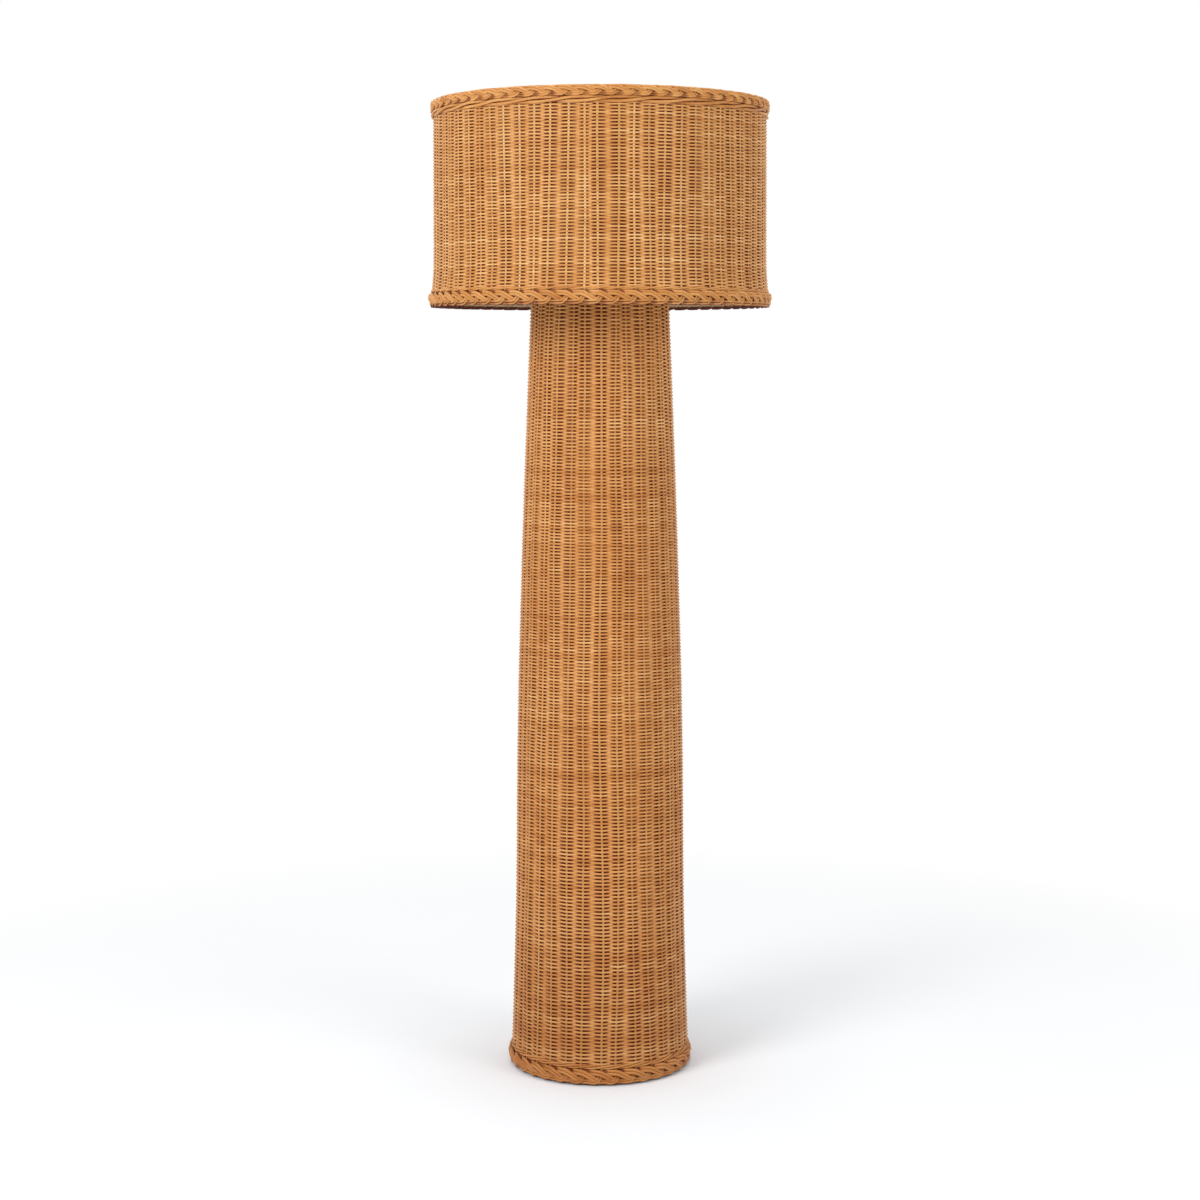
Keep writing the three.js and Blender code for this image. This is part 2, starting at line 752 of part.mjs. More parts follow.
function keyHole() {
  const length = shellDiameter / 2 + cutOverrun;
  const hole = keyHoleDiameter / 2;
  const outline = [[0, 0], [hole, 0], [hole, length], [0, length]];
  return turned(outline, smallSides).rotateX(Math.PI / 2).translate(0, 0, knobZ);
}

function socketLiner() {
  const outer = shellDiameter / 2 - socketWall - seatGap;
  const tube = washerRing(outer - linerWall, outer, shellHeight, roundSides)
    .translate(0, 0, shellZ);
  return piece('socket_liner', toGeometry(toSolid(tube).subtract(toSolid(keyHole()))), fibreBoard);
}

const switchBodyRadius = shellDiameter / 2 - socketWall - linerWall - 2 * seatGap;

function switchBody() {
  const outline = [
    [0, 0], [switchBodyRadius, 0], [switchBodyRadius, switchBodyHeight], [0, switchBodyHeight],
  ];
  return piece('switch_body', turned(outline, roundSides).translate(0, 0, switchZ), phenolic);
}

function screwShell() {
  const outer = screwShellDiameter / 2;
  const inner = outer - screwShellWall;
  const outline = [
    [0, 0], [outer, 0], [outer, screwShellHeight], [inner, screwShellHeight],
    [inner, screwShellWall], [0, screwShellWall],
  ];
  return piece('screw_shell', turned(outline, roundSides).translate(0, 0, screwShellZ), brass);
}

// Ribbed knob on a stem. The stem passes through the shell to the switch body.
function turnKnob() {
  const points = [];
  for (let i = 0; i < 2 * knobRibs; i += 1) {
    const radius = knobDiameter / 2 - (i % 2 === 0 ? 0 : knobRibDepth);
    const angle = (Math.PI * i) / knobRibs;
    points.push(new THREE.Vector2(radius * Math.cos(angle), radius * Math.sin(angle)));
  }
  const grip = new THREE.ExtrudeGeometry(new THREE.Shape(points), {
    depth: knobLength, bevelEnabled: false,
  });
  const stem = stemDiameter / 2;
  const reach = stemLength + knobLength / 2;
  const shaft = turned([[0, 0], [stem, 0], [stem, reach], [0, reach]], smallSides);
  const solid = toSolid(grip.translate(0, 0, stemLength)).add(toSolid(shaft));
  const geometry = toGeometry(solid).rotateX(Math.PI / 2);
  geometry.translate(0, -switchBodyRadius - seatGap, knobZ);
  return piece('turn_knob', geometry, phenolic);
}

function bulbScrewBase() {
  const outer = bulbBaseDiameter / 2 - seatGap;
  const tipShares = [[0.4, 0], [0.75, 0.12]];
  const outline = [
    [0, 0],
    ...tipShares.map(([across, up]) => [outer * across, bulbBaseHeight * up]),
    [outer, bulbBaseHeight / 4], [outer, bulbBaseHeight], [0, bulbBaseHeight],
  ];
  return piece('bulb_screw_base', turned(outline, roundSides).translate(0, 0, bulbBaseZ), zincSteel);
}

function bulbGlass() {
  const ball = bulbDiameter / 2;
  const neck = bulbNeckDiameter / 2;
  const ballZ = bulbGlassHeight - ball;
  const outline = [[0, 0], [neck, 0], [neck + (ball - neck) / 4, ballZ / 3]];
  const startAngle = -Math.PI / 6;
  const arcSteps = smallSides / 2;
  for (let step = 0; step <= arcSteps; step += 1) {
    const angle = startAngle + ((Math.PI / 2 - startAngle) * step) / arcSteps;
    const radius = step === arcSteps ? 0 : ball * Math.cos(angle);
    outline.push([radius, ballZ + ball * Math.sin(angle)]);
  }
  return piece('bulb_glass', turned(outline, roundSides).translate(0, 0, glassZ), opalGlass);
}

function counted(count, make) {
  return Array.from({ length: count }, (_, index) => make(index));
}

const column = new THREE.Group();
column.add(
  ...counted(4, footPad), baseBoard(), baseWeight(), centerPipe(),
  lockNut('bottom_lock_nut', bottomNutZ), pipeWasher('bottom_washer', bottomWasherZ),
  lockNut('weight_lock_nut', weightNutZ),
  ...frameHoops(), ...counted(uprightCount, frameUpright),
  columnWeave(), columnFootBraid(), columnTopBorder(), columnTopCap(), cordGrommet(),
  pipeWasher('top_washer', topWasherZ), lockNut('top_lock_nut', topNutZ),
);

const socket = new THREE.Group();
socket.add(
  socketCap(), socketShell(), socketLiner(), switchBody(), screwShell(), turnKnob(),
  bulbScrewBase(), bulbGlass(),
);

const harpGroup = new THREE.Group();
harpGroup.add(
  harpSaddle(), harp(), harpSleeve('harp_sleeve_left', -1), harpSleeve('harp_sleeve_right', 1),
  harpStud(), finial(),
);

const shade = new THREE.Group();
shade.add(
  shadeWeave(), shadeTopBraid(), shadeBottomBraid(), shadeTopRing(), shadeBottomRing(),
  spiderHub(), ...counted(spiderArms, spiderArm),
);

const lamp = new THREE.Group();
lamp.name = 'rattan_floor_lamp';
lamp.add(column, socket, harpGroup, shade);

export default lamp;
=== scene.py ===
# %% [markdown]
# # A floor lamp of woven cane
#
# The lamp is two baskets, one on top of the other: a tall column that tapers upwards, and a
# wide drum shade. Both are made in randing, the plainest weave there is, where each weaver
# goes in front of one stake and behind the next. Each basket ends in a plait of cane.
#
# The cane is made anew here, rod by rod, because light and shade between real rods make a
# basket look woven. The round parts of metal, wood, rubber and glass are made again too,
# without facets. The nuts, the pipe, the harp's saddle and what lies hidden stay as packed, and
# only get a finish.

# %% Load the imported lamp
import json
import math

import bmesh
import bpy
from mathutils import Matrix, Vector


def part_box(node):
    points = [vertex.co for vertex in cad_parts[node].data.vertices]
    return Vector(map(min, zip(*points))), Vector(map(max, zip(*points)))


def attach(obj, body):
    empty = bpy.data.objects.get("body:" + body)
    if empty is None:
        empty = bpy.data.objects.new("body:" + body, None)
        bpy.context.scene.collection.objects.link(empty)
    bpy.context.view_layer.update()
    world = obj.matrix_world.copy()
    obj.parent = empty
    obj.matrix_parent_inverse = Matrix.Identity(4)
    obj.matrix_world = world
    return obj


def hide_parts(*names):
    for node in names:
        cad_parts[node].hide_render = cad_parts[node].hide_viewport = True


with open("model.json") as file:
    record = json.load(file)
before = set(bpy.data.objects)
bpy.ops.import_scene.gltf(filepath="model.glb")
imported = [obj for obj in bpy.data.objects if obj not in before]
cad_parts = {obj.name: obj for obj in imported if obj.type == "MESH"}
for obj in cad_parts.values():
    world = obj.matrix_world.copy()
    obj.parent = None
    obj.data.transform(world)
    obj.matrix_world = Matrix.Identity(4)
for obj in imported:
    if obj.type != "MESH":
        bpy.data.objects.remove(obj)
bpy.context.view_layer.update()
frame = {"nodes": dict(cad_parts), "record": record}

slot_of = {part["node"]: part["material_slot"] for part in frame["record"]["subparts"]}
body_of = {}
for body, nodes in frame["record"]["behaviour"]["bodies"].items():
    body_of.update(dict.fromkeys(nodes, body))

# %% [markdown]
# ## Camera
#
# The lamp stands upright in the picture and its foot is seen from a little above, so the
# camera looks slightly down. A longer lens keeps the column's sides calm. The place and the
# lens follow from the ellipses of the foot and the shade's rim.


# %% Camera
def put_in_scene(name, data):
    """A new object in the scene."""
    item = bpy.data.objects.new(name, data)
    bpy.context.scene.collection.objects.link(item)
    return item


camera_distance = 3.6
camera_height = 1.1405
camera_pitch = math.radians(6.22)

camera_data = bpy.data.cameras.new("studio_camera")
camera_data.sensor_width = 36.0
camera_data.lens = 68.44
camera_data.clip_end = 60.0
camera = put_in_scene("studio_camera", camera_data)
camera.location = (0.0, -camera_distance, camera_height)
camera.rotation_euler = (math.pi / 2 - camera_pitch, 0.0, 0.0)
bpy.context.scene.camera = camera
print("camera at", tuple(camera.location))

# %% [markdown]
# ## Writing formulas as nodes
#
# Every rod of the baskets follows a formula: an angle around the axis, a height, and a swing
# in and out. Geometry Nodes can hold such a formula, but as dozens of small maths nodes. The
# class below lets the script write `height * 2 + swing` and adds the nodes by itself. The same
# class works in material trees, because both kinds of tree share the maths node.


# %% A value that flows through a tree
class Flow:
    """One value on its way through a node tree."""

    def __init__(self, tree, socket):
        self.tree = tree
        self.socket = socket

    def maths(self, operation, *others):
        values = dict(enumerate((self, *others)))
        return flow_from(self.tree, "ShaderNodeMath", values, operation=operation)

    def __add__(self, other):
        return self.maths("ADD", other)

    def __sub__(self, other):
        return self.maths("SUBTRACT", other)

    def __mul__(self, other):
        return self.maths("MULTIPLY", other)

    def __truediv__(self, other):
        return self.maths("DIVIDE", other)

    __radd__ = __add__


def feed(node, inputs):
    """Give a node's inputs their values, or link them to a flow or to another node."""
    for key, value in inputs.items():
        source = value.socket if isinstance(value, Flow) else value
        if isinstance(source, bpy.types.Node):
            source = source.outputs[0]
        if isinstance(source, bpy.types.NodeSocket):
            node.id_data.links.new(source, node.inputs[key])
        else:
            node.inputs[key].default_value = source


def add_node(tree, kind, inputs=None, **settings):
    """A new node. Its settings come first, because some of them change its inputs."""
    node = tree.nodes.new(kind)
    for name, value in settings.items():
        setattr(node, name, value)
    feed(node, inputs or {})
    return node


def flow_from(tree, kind, inputs=None, output=0, **settings):
    """What flows out of a new node."""
    return Flow(tree, add_node(tree, kind, inputs, **settings).outputs[output])


print("a formula can be written as nodes")


# %% Words for the formulas
def sine(value):
    return value.maths("SINE")


def cosine(value):
    return value.maths("COSINE")


def between(value, low, high):
    """How far a value has gone from low to high, from 0 to 1."""
    return flow_from(value.tree, "ShaderNodeMapRange",
                     {"Value": value, "From Min": low, "From Max": high})


def vector_of(x, y, z):
    """Three values as one vector."""
    return flow_from(x.tree, "ShaderNodeCombineXYZ", {0: x, 1: y, 2: z})


def round_place(angle, radius, height):
    """The place at an angle round the lamp's axis, a distance from it and a height."""
    return vector_of(cosine(angle) * radius, sine(angle) * radius, height)


def stretched(place, scale):
    """The same place, measured with another ruler along each axis."""
    return flow_from(place.tree, "ShaderNodeVectorMath", {0: place, 1: scale},
                     operation="MULTIPLY")


def noise_of(place, scale=1.0, detail=1.0, roughness=0.5):
    """Smooth noise around zero, about half a unit up and down."""
    inputs = {"Vector": place, "Scale": scale, "Detail": detail, "Roughness": roughness}
    return flow_from(place.tree, "ShaderNodeTexNoise", inputs) - 0.5


print("words for formulas ready")

# %% [markdown]
# ## From a tree to a piece
#
# A tree has a named input for each size, so the same tree makes several pieces. It lays
# curves, keeps a few values on their points for the material, and gives the curves a round
# section at the end. Each piece is taken out as a plain mesh, because an exported file holds no
# live trees.


# %% Trees and their curves
def start_tree(name, counts, sizes):
    """A geometry tree with a named input for each count and size, and what flows out of them."""
    tree = bpy.data.node_groups.new(name, "GeometryNodeTree")
    tree.interface.new_socket("Mesh", in_out="OUTPUT", socket_type="NodeSocketGeometry")
    source = add_node(tree, "NodeGroupInput")
    flows = {}
    for kind, names in (("Int", counts), ("Float", sizes), ("Material", ["Cane"])):
        for socket in names:
            tree.interface.new_socket(socket, in_out="INPUT", socket_type="NodeSocket" + kind)
            flows[socket] = Flow(tree, source.outputs[socket])
    return tree, flows


def copies_of(curve, count):
    """Many copies of one curve, as real curves. Their places are set later."""
    tree = curve.id_data
    points = add_node(tree, "GeometryNodeMeshLine", {"Count": count})
    spread = add_node(tree, "GeometryNodeInstanceOnPoints", {"Points": points, "Instance": curve})
    return add_node(tree, "GeometryNodeRealizeInstances", {0: spread})


def place_along(tree):
    """Which curve a point is on, and which point of that curve it is."""
    node = add_node(tree, "GeometryNodeCurveOfPoint")
    return Flow(tree, node.outputs["Curve Index"]), Flow(tree, node.outputs["Index in Curve"])


def random_of(number, seed, low, high):
    """The same random value each time for the same whole number."""
    inputs = {2: low, 3: high, "ID": number, "Seed": seed}
    return flow_from(number.tree, "FunctionNodeRandomValue", inputs, output=1, data_type="FLOAT")


print("trees can be started")


# %% Values on the points and the round section
def keep_values(geometry, data_type="FLOAT", **values):
    """Store values on the points, so that the material can read them."""
    for name, value in values.items():
        geometry = add_node(geometry.id_data, "GeometryNodeStoreNamedAttribute",
                            {"Geometry": geometry, "Name": name, "Value": value},
                            data_type=data_type, domain="POINT")
    return geometry


def finish_tree(curves, place, rod_radius, sides, finish, caps=False):
    """Move the points, give the curves a round section and a material, and end the tree."""
    tree = curves.id_data
    moved = add_node(tree, "GeometryNodeSetPosition", {"Geometry": curves, "Position": place})
    level = add_node(tree, "GeometryNodeSetCurveNormal", {0: moved}, mode="Z_UP")
    circle = add_node(tree, "GeometryNodeCurvePrimitiveCircle",
                      {"Resolution": sides, "Radius": 1.0})
    place_on_circle = add_node(tree, "GeometryNodeInputPosition")
    section = keep_values(circle, "FLOAT_VECTOR", around=place_on_circle)
    skin = add_node(tree, "GeometryNodeCurveToMesh", {
        "Curve": level, "Profile Curve": section, "Scale": rod_radius, "Fill Caps": caps})
    smooth = add_node(tree, "GeometryNodeSetShadeSmooth", {0: skin})
    real = add_node(tree, "GeometryNodeRealizeInstances", {0: smooth})
    paint = add_node(tree, "GeometryNodeSetMaterial", {0: real, "Material": finish})
    add_node(tree, "NodeGroupOutput", {0: paint})


print("trees can be finished")


# %% Pieces out of trees
def stand_for(piece, node):
    """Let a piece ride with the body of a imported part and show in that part's place."""
    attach(piece, body_of[node])
    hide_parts(node)
    triangles = sum(len(face.vertices) - 2 for face in piece.data.polygons)
    print(piece.name, triangles, "triangles")


def make_piece(name, tree, node, slot="cane", **sizes):
    """Run a tree once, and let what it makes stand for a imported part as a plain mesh."""
    piece = put_in_scene(name, bpy.data.meshes.new(name + "_seed"))
    modifier = piece.modifiers.new("weave", "NODES")
    modifier.node_group = tree
    for socket in tree.interface.items_tree:
        key = socket.name.lower().replace(" ", "_")
        if socket.in_out == "INPUT" and key in sizes:
            modifier[socket.identifier] = sizes[key]
    graph = bpy.context.evaluated_depsgraph_get()
    mesh = bpy.data.meshes.new_from_object(
        piece.evaluated_get(graph), preserve_all_data_layers=True, depsgraph=graph)
    piece.modifiers.remove(modifier)
    piece.data = mesh
    mesh.name = name
    stand_for(piece, node)


print("pieces can be made")

# %% [markdown]
# ## The finish of the cane
#
# Core cane is a pale wood without bark. The maker sprayed the outside with a honey-brown stain
# under a clear satin lacquer, and the inside stays pale and raw. Stain collects in the hollows
# and painted shade darkens them further. Painted shade also lies beside the stakes, behind the
# plaits and on the lower edges, and each basket grows darker towards the bottom. No two rods took
# it alike.
#
# A picture wrapped round the lamp could show that, but only from one side. Here each rod keeps
# its own tone as a value on its points, the material reads it, and long thin noise adds fibres.


# %% Colours of the cane
def linear(red, green, blue):
    """A colour as a camera shows it, from 0 to 255, as the light it sends back."""
    values = []
    for channel in (red, green, blue):
        share = channel / 255
        values.append(share / 12.92 if share <= 0.04045 else ((share + 0.055) / 1.055) ** 2.4)
    return (*values, 1.0)


cane_tones = [
    (0.0, linear(156, 94, 41)),
    (0.3, linear(195, 132, 68)),
    (0.7, linear(217, 162, 98)),
    (1.0, linear(240, 201, 142)),
]
raw_cane = linear(226, 205, 172)
# A dark stain colour, also used as painted shade in the hollows and to darken the baskets towards
# the bottom; below it, the colour of painted shade on the lower edges
stain_shade_colour = linear(106, 38, 5)
painted_edge_shade = linear(84, 20, 5)
white = (1.0, 1.0, 1.0, 1.0)
print("cane tones:", len(cane_tones))


# %% Helpers for materials
def start_material(name):
    """A material and its main shader, the place of a point on the lamp and where it faces."""
    material = bpy.data.materials.new(name)
    material.use_nodes = True
    tree = material.node_tree
    source = add_node(tree, "ShaderNodeTexCoord")
    place, facing = [Flow(tree, source.outputs[kind]) for kind in ("Object", "Normal")]
    return material, tree.nodes["Principled BSDF"], place, facing


def parts_of(vector):
    node = add_node(vector.tree, "ShaderNodeSeparateXYZ", {0: vector})
    return [Flow(vector.tree, output) for output in node.outputs]


def kept_value(tree, name, output="Fac"):
    """A value that a tree kept on the points of a rod."""
    return flow_from(tree, "ShaderNodeAttribute", output=output, attribute_name=name)


def ramp(value, stops):
    """A colour for each value between 0 and 1."""
    node = add_node(value.tree, "ShaderNodeValToRGB", {0: value})
    points = node.color_ramp.elements
    while len(points) < len(stops):
        points.new(0.5)
    for point, (position, colour) in zip(points, stops):
        point.position = position
        point.color = colour
    return Flow(value.tree, node.outputs[0])


def blend(share, first, second, kind="MIX"):
    """Two colours mixed."""
    return flow_from(first.tree, "ShaderNodeMix", {"Factor": share, 6: first, 7: second},
                     output=2, data_type="RGBA", blend_type=kind)


def bump(height, strength, distance):
    """Fine relief from a value."""
    return flow_from(height.tree, "ShaderNodeBump",
                     {"Strength": strength, "Distance": distance, "Height": height})


print("material helpers ready")

# %% Lacquered cane
cloud_ruler = (22.0, 22.0, 6.0)
blotch_ruler = (50.0, 50.0, 2.5)
fibres_round = 2.5
fibres_along = 33.0
edge_depth = 0.002


def cane_finish(name, tint, lower_edge, stain_rise, settled_stain):
    """Stained cane, darker low down, with painted shade in hollows, beside stakes and at the lower
    edge.
    """
    material, shader, place, facing = start_material(name)
    x, y, z = parts_of(place)
    across, along, up = parts_of(facing)
    outward = (x * across + y * along) / (x * x + y * y).maths("SQRT")
    tone, hollow, length, upright = [
        kept_value(place.tree, kept) for kept in ("tone", "hollow", "length", "upright")]
    round_x, round_y, _ = parts_of(kept_value(place.tree, "around", "Vector"))

    # The rod's own tone, with clouds over the basket and fibres along the rod
    cloud = noise_of(stretched(place, cloud_ruler), detail=3.0)
    along_rod = vector_of(round_x * fibres_round, round_y * fibres_round, length * fibres_along)
    fibre = noise_of(along_rod, detail=3.0, roughness=0.6)
    colour = ramp(tone + cloud * 0.6 + fibre * 0.7, cane_tones)
    colour = blend(1.0, colour, tint, kind="MULTIPLY")

    # Stain and painted shade in the hollows, and painted shade on the sides of the stakes, in
    # blotches
    blotch = noise_of(stretched(place, blotch_ruler))
    depth = between(hollow, 0.2, 0.75) * between(outward, -0.5, 0.1)
    depth = depth.maths("MAXIMUM", upright * between(outward, 0.85, 0.5))
    colour = blend(depth * (blotch * 1.8 + 0.92), colour, stain_shade_colour)

    # Raw cane on what faces inwards
    raw_share = between(outward, -0.25, -0.65)
    colour = blend(raw_share * 0.85, colour, raw_cane)
    # Darker towards the bottom of the basket
    darker_low = between(z, lower_edge + stain_rise, lower_edge)
    colour = blend(darker_low * settled_stain, colour, stain_shade_colour)
    # Painted shade on what faces down or inwards at the lower edge
    hidden = between(up, -0.3, -0.8).maths("MAXIMUM", between(outward, 0.1, -0.3))
    underside_shade = hidden * between(z, lower_edge + edge_depth, lower_edge)
    colour = blend(underside_shade * 0.95, colour, painted_edge_shade)

    feed(shader, {
        "Base Color": colour,
        "Roughness": 0.5 + fibre * 0.25 + raw_share * 0.2 + underside_shade * 0.3,
        "Coat Weight": 0.1,
        "Coat Roughness": 0.3,
        "Specular IOR Level": 0.22,
        "Normal": bump(fibre + cloud * 0.2, strength=0.35, distance=0.0006),
    })
    return material


# Each basket grows darker towards its lower edge, the column over a long rise and the shade over a
# short one
column_cane = cane_finish("column_cane", tint=(0.955, 0.9, 0.86, 1.0), lower_edge=0.004,
                          stain_rise=0.36, settled_stain=0.26)
shade_cane = cane_finish("shade_cane", tint=white, lower_edge=1.2125, stain_rise=0.024,
                         settled_stain=0.1)
print("cane finishes:", column_cane.name, shade_cane.name)

# %% [markdown]
# ## The baskets' outlines
#
# The column swells a little between foot and top, as a basket does when its stakes spring
# outwards, and flares where it meets the foot. The drum is straight but for its lower edge.
# A Float Curve node holds each outline, so the tree can look up a radius for any height.

# %% Outlines
column_outline = {
    "bottom": 0.0273, "top": 1.2647, "foot_radius": 0.1435, "top_radius": 0.107,
    "curve": [(0, 1), (0.02, 0.965), (0.065, 0.915), (0.2, 0.79), (0.405, 0.704),
              (0.587, 0.542), (0.766, 0.326), (1, 0)],
}
shade_outline = {
    "bottom": 1.2328, "top": 1.4952, "foot_radius": 0.2634, "top_radius": 0.259,
    "curve": [(0, 1), (0.06, 0.65), (0.16, 0.3), (0.5, 0.16), (1, 0)],
}


def outline_radius(height, outline):
    """The outermost radius of a basket at a height, as nodes."""
    share = (height - outline["bottom"]) / (outline["top"] - outline["bottom"])
    node = add_node(height.tree, "ShaderNodeFloatCurve", {"Value": share})
    curve = node.mapping.curves[0]
    first, *middle, last = outline["curve"]
    curve.points[0].location = first
    curve.points[-1].location = last
    for place in middle:
        curve.points.new(*place)
    node.mapping.update()
    spread = outline["foot_radius"] - outline["top_radius"]
    return Flow(height.tree, node.outputs[0]) * spread + outline["top_radius"]


print("column rises", round(column_outline["top"] - column_outline["bottom"], 3), "m")

# %% [markdown]
# ## Hand work
#
# Stakes are never quite upright, and rows never quite level. Both have to drift together, or a
# weaver would bend round a stake that has moved away. So the drift depends only on the place
# on the basket, and every rod near that place moves with it. The rows also part round the
# inlet for the cord, as a maker pushes them aside to set the grommet.


# %% Drift of stakes and rows
def hand_drift(angle, height, stakes):
    """How far a place on the basket has moved round and up, in metres."""
    sideways = noise_of(round_place(angle, stakes * 0.1, height * 2.2)) * 0.019
    upwards = noise_of(round_place(angle, 1.0, height * 7.0 + 5.0), detail=2.0) * 0.006
    return sideways, upwards


def room_for_inlet(angle, height, radius):
    """How far a row moves up and in, so that it passes round the inlet for the cord."""
    bay_width, reach, push = 0.0136, 0.045, 0.0078
    press, press_from, press_to = 0.004, 0.018, 0.006
    inlet_low, inlet_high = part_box("cord_grommet")
    inlet = (inlet_low + inlet_high) / 2
    across = ((angle - math.atan2(inlet.y, inlet.x)) * radius).maths("ABSOLUTE")
    above = height - inlet.z
    distance = above.maths("ABSOLUTE")
    near = between(across, bay_width, 0.0)
    close = between(distance, reach, 0.0)
    upwards = above.maths("SIGN") * near * close * close * push
    inwards = near * between(distance, press_from, press_to) * press
    return upwards, inwards


def ends_calm(height, outline):
    """Nought at both ends of a basket and one over its middle."""
    middle = (outline["top"] + outline["bottom"]) / 2
    half = (outline["top"] - outline["bottom"]) / 2
    away = ((height - middle) / half).maths("ABSOLUTE")
    return between(away, 1.0, 0.82)


print("drift ready")

# %% [markdown]
# ## Randing
#
# A weaver swings in and out like a wave that is two stakes long. The next row has the same
# wave the other way round, so each stake is gripped from both sides. Seen from outside, that
# gives the pale line on each stake with a ladder of dark gaps on both sides of it.
#
# Each basket's tree makes closed rings, one for each row. On the real lamp two weavers chase
# each other upwards in a spiral, and a new cane is laid in every few turns. The rings are
# level, but the tone follows the spiral, so a darker cane starts and ends along a row.


# %% Tree for the weavers
def weavers_tree(name, outline):
    """Rows of randing on the outline of one basket."""
    tree, sizes = start_tree(
        name, ["Rows", "First Row", "All Rows", "Stakes", "Points in a Bay", "Seed"],
        ["Bottom", "Rise", "Drift of Pitch", "Rod", "Reach", "Turns in a Cane"])
    points = sizes["Stakes"] * sizes["Points in a Bay"]
    ring = add_node(tree, "GeometryNodeCurvePrimitiveCircle", {"Resolution": points})
    curves = copies_of(ring, sizes["Rows"])
    curve_number, step = place_along(tree)
    row = curve_number + sizes["First Row"]
    turn = step / points
    bay = turn * sizes["Stakes"]
    wave = cosine((bay + row) * math.pi)
    swing = wave * wave * wave

    # Where the row runs before the weaver bends and before the hand drifts
    share = (row + 0.5) / sizes["All Rows"]
    stretch = sine((share - 0.1) * math.tau) + math.sin(0.1 * math.tau)
    height = sizes["Bottom"] + sizes["Rise"] * (share + stretch * sizes["Drift of Pitch"])
    angle = (bay + sine(bay * math.tau) * 0.03) / sizes["Stakes"] * math.tau - math.pi / 2
    reach = sizes["Reach"]
    radius = outline_radius(height, outline) - reach - sizes["Rod"] / 2

    # No rod is equally thick all along, and the lowest rows take thicker canes
    thick = random_of(row, sizes["Seed"], 0.97, 1.05)
    thick = thick + noise_of(round_place(angle, 1.0, height * 3.0), scale=7.0) * 0.22
    thick = thick + between(share, 0.3, 0.0) * 0.06
    uneven = noise_of(round_place(angle, 1.0, row * 0.37), scale=9.0) * 0.0007

    sideways, upwards = hand_drift(angle, height, sizes["Stakes"])
    angle = angle + sideways / radius
    height = height + upwards * ends_calm(height, outline) + uneven
    apart, inwards = room_for_inlet(angle, height, radius)
    height = height + apart
    radius = radius + reach * swing - inwards

    # Which of the two chasing weavers a row belongs to, and which cane along it
    chaser = row.maths("MODULO", 2.0)
    climbed = (row - chaser) / 2.0 + turn
    cane_number = (climbed / sizes["Turns in a Cane"] + chaser * 0.43).maths("FLOOR")
    tone = random_of(cane_number * 2.0 + chaser, sizes["Seed"] + 2, 0.36, 0.64)
    tone = tone + random_of(row, sizes["Seed"] + 3, -0.12, 0.12)
    # Rods that swing inwards are marked for stain and painted shade beside the stakes
    curves = keep_values(curves, tone=tone, hollow=swing * -2.5 + 0.04,
                         length=turn * math.tau * radius + row * 0.7)
    pressed = swing * -0.1 + 1.0
    finish_tree(curves, round_place(angle, radius, height),
                thick * pressed * sizes["Rod"] / 2.0, sides=6, finish=sizes["Cane"])
    return tree


column_weavers_tree = weavers_tree("column_weavers_tree", column_outline)
shade_weavers_tree = weavers_tree("shade_weavers_tree", shade_outline)
print("nodes in a weavers tree:", len(column_weavers_tree.nodes))

# %% Weave the column
stake_rod = 0.0046
column_weaver = 0.0027
shade_weaver = 0.0024
column_stakes = 32
shade_stakes = 66
swing_share = 0.37
column_reach = (stake_rod + column_weaver) * swing_share
shade_reach = (stake_rod + shade_weaver) * swing_share
# Rows nest where they swing apart, so a rod is thicker than its row is high
column_fullness = 1.26
shade_fullness = 1.28


def weave(name, tree, node, bands, rows, **sizes):
    """One basket's rows, in a few pieces, so that none gets too heavy."""
    for band in range(bands):
        first = rows * band // bands
        last = rows * (band + 1) // bands
        make_piece(f"{name}_{band + 1}", tree, node, rows=last - first, first_row=first,
                   all_rows=rows, points_in_a_bay=4, **sizes)


weave("column_weavers", column_weavers_tree, "column_weave", bands=4, rows=456,
      stakes=column_stakes, bottom=0.0333, rise=1.2314, drift_of_pitch=0.0125,
      rod=column_weaver * column_fullness, reach=column_reach, turns_in_a_cane=2.3, seed=11,
      cane=column_cane)

# %% Weave the shade
weave("shade_weavers", shade_weavers_tree, "shade_weave", bands=2, rows=109,
      stakes=shade_stakes, bottom=1.2350, rise=0.2640, drift_of_pitch=0.0,
      rod=shade_weaver * shade_fullness, reach=shade_reach, turns_in_a_cane=1.4, seed=23,
      cane=shade_cane)

# %% [markdown]
# ## Stakes
#
# The stakes are thicker rods that run from plait to plait. They show as the pale upright lines,
# and from inside the shade they are what the eye sees first. They reach a little way in behind
# the plaits, where the real ones are bent over and worked into the border. A value called
# upright tells the material to paint shade on their sides, which lie in the gaps, and their ends
# behind the plaits get painted shade too.


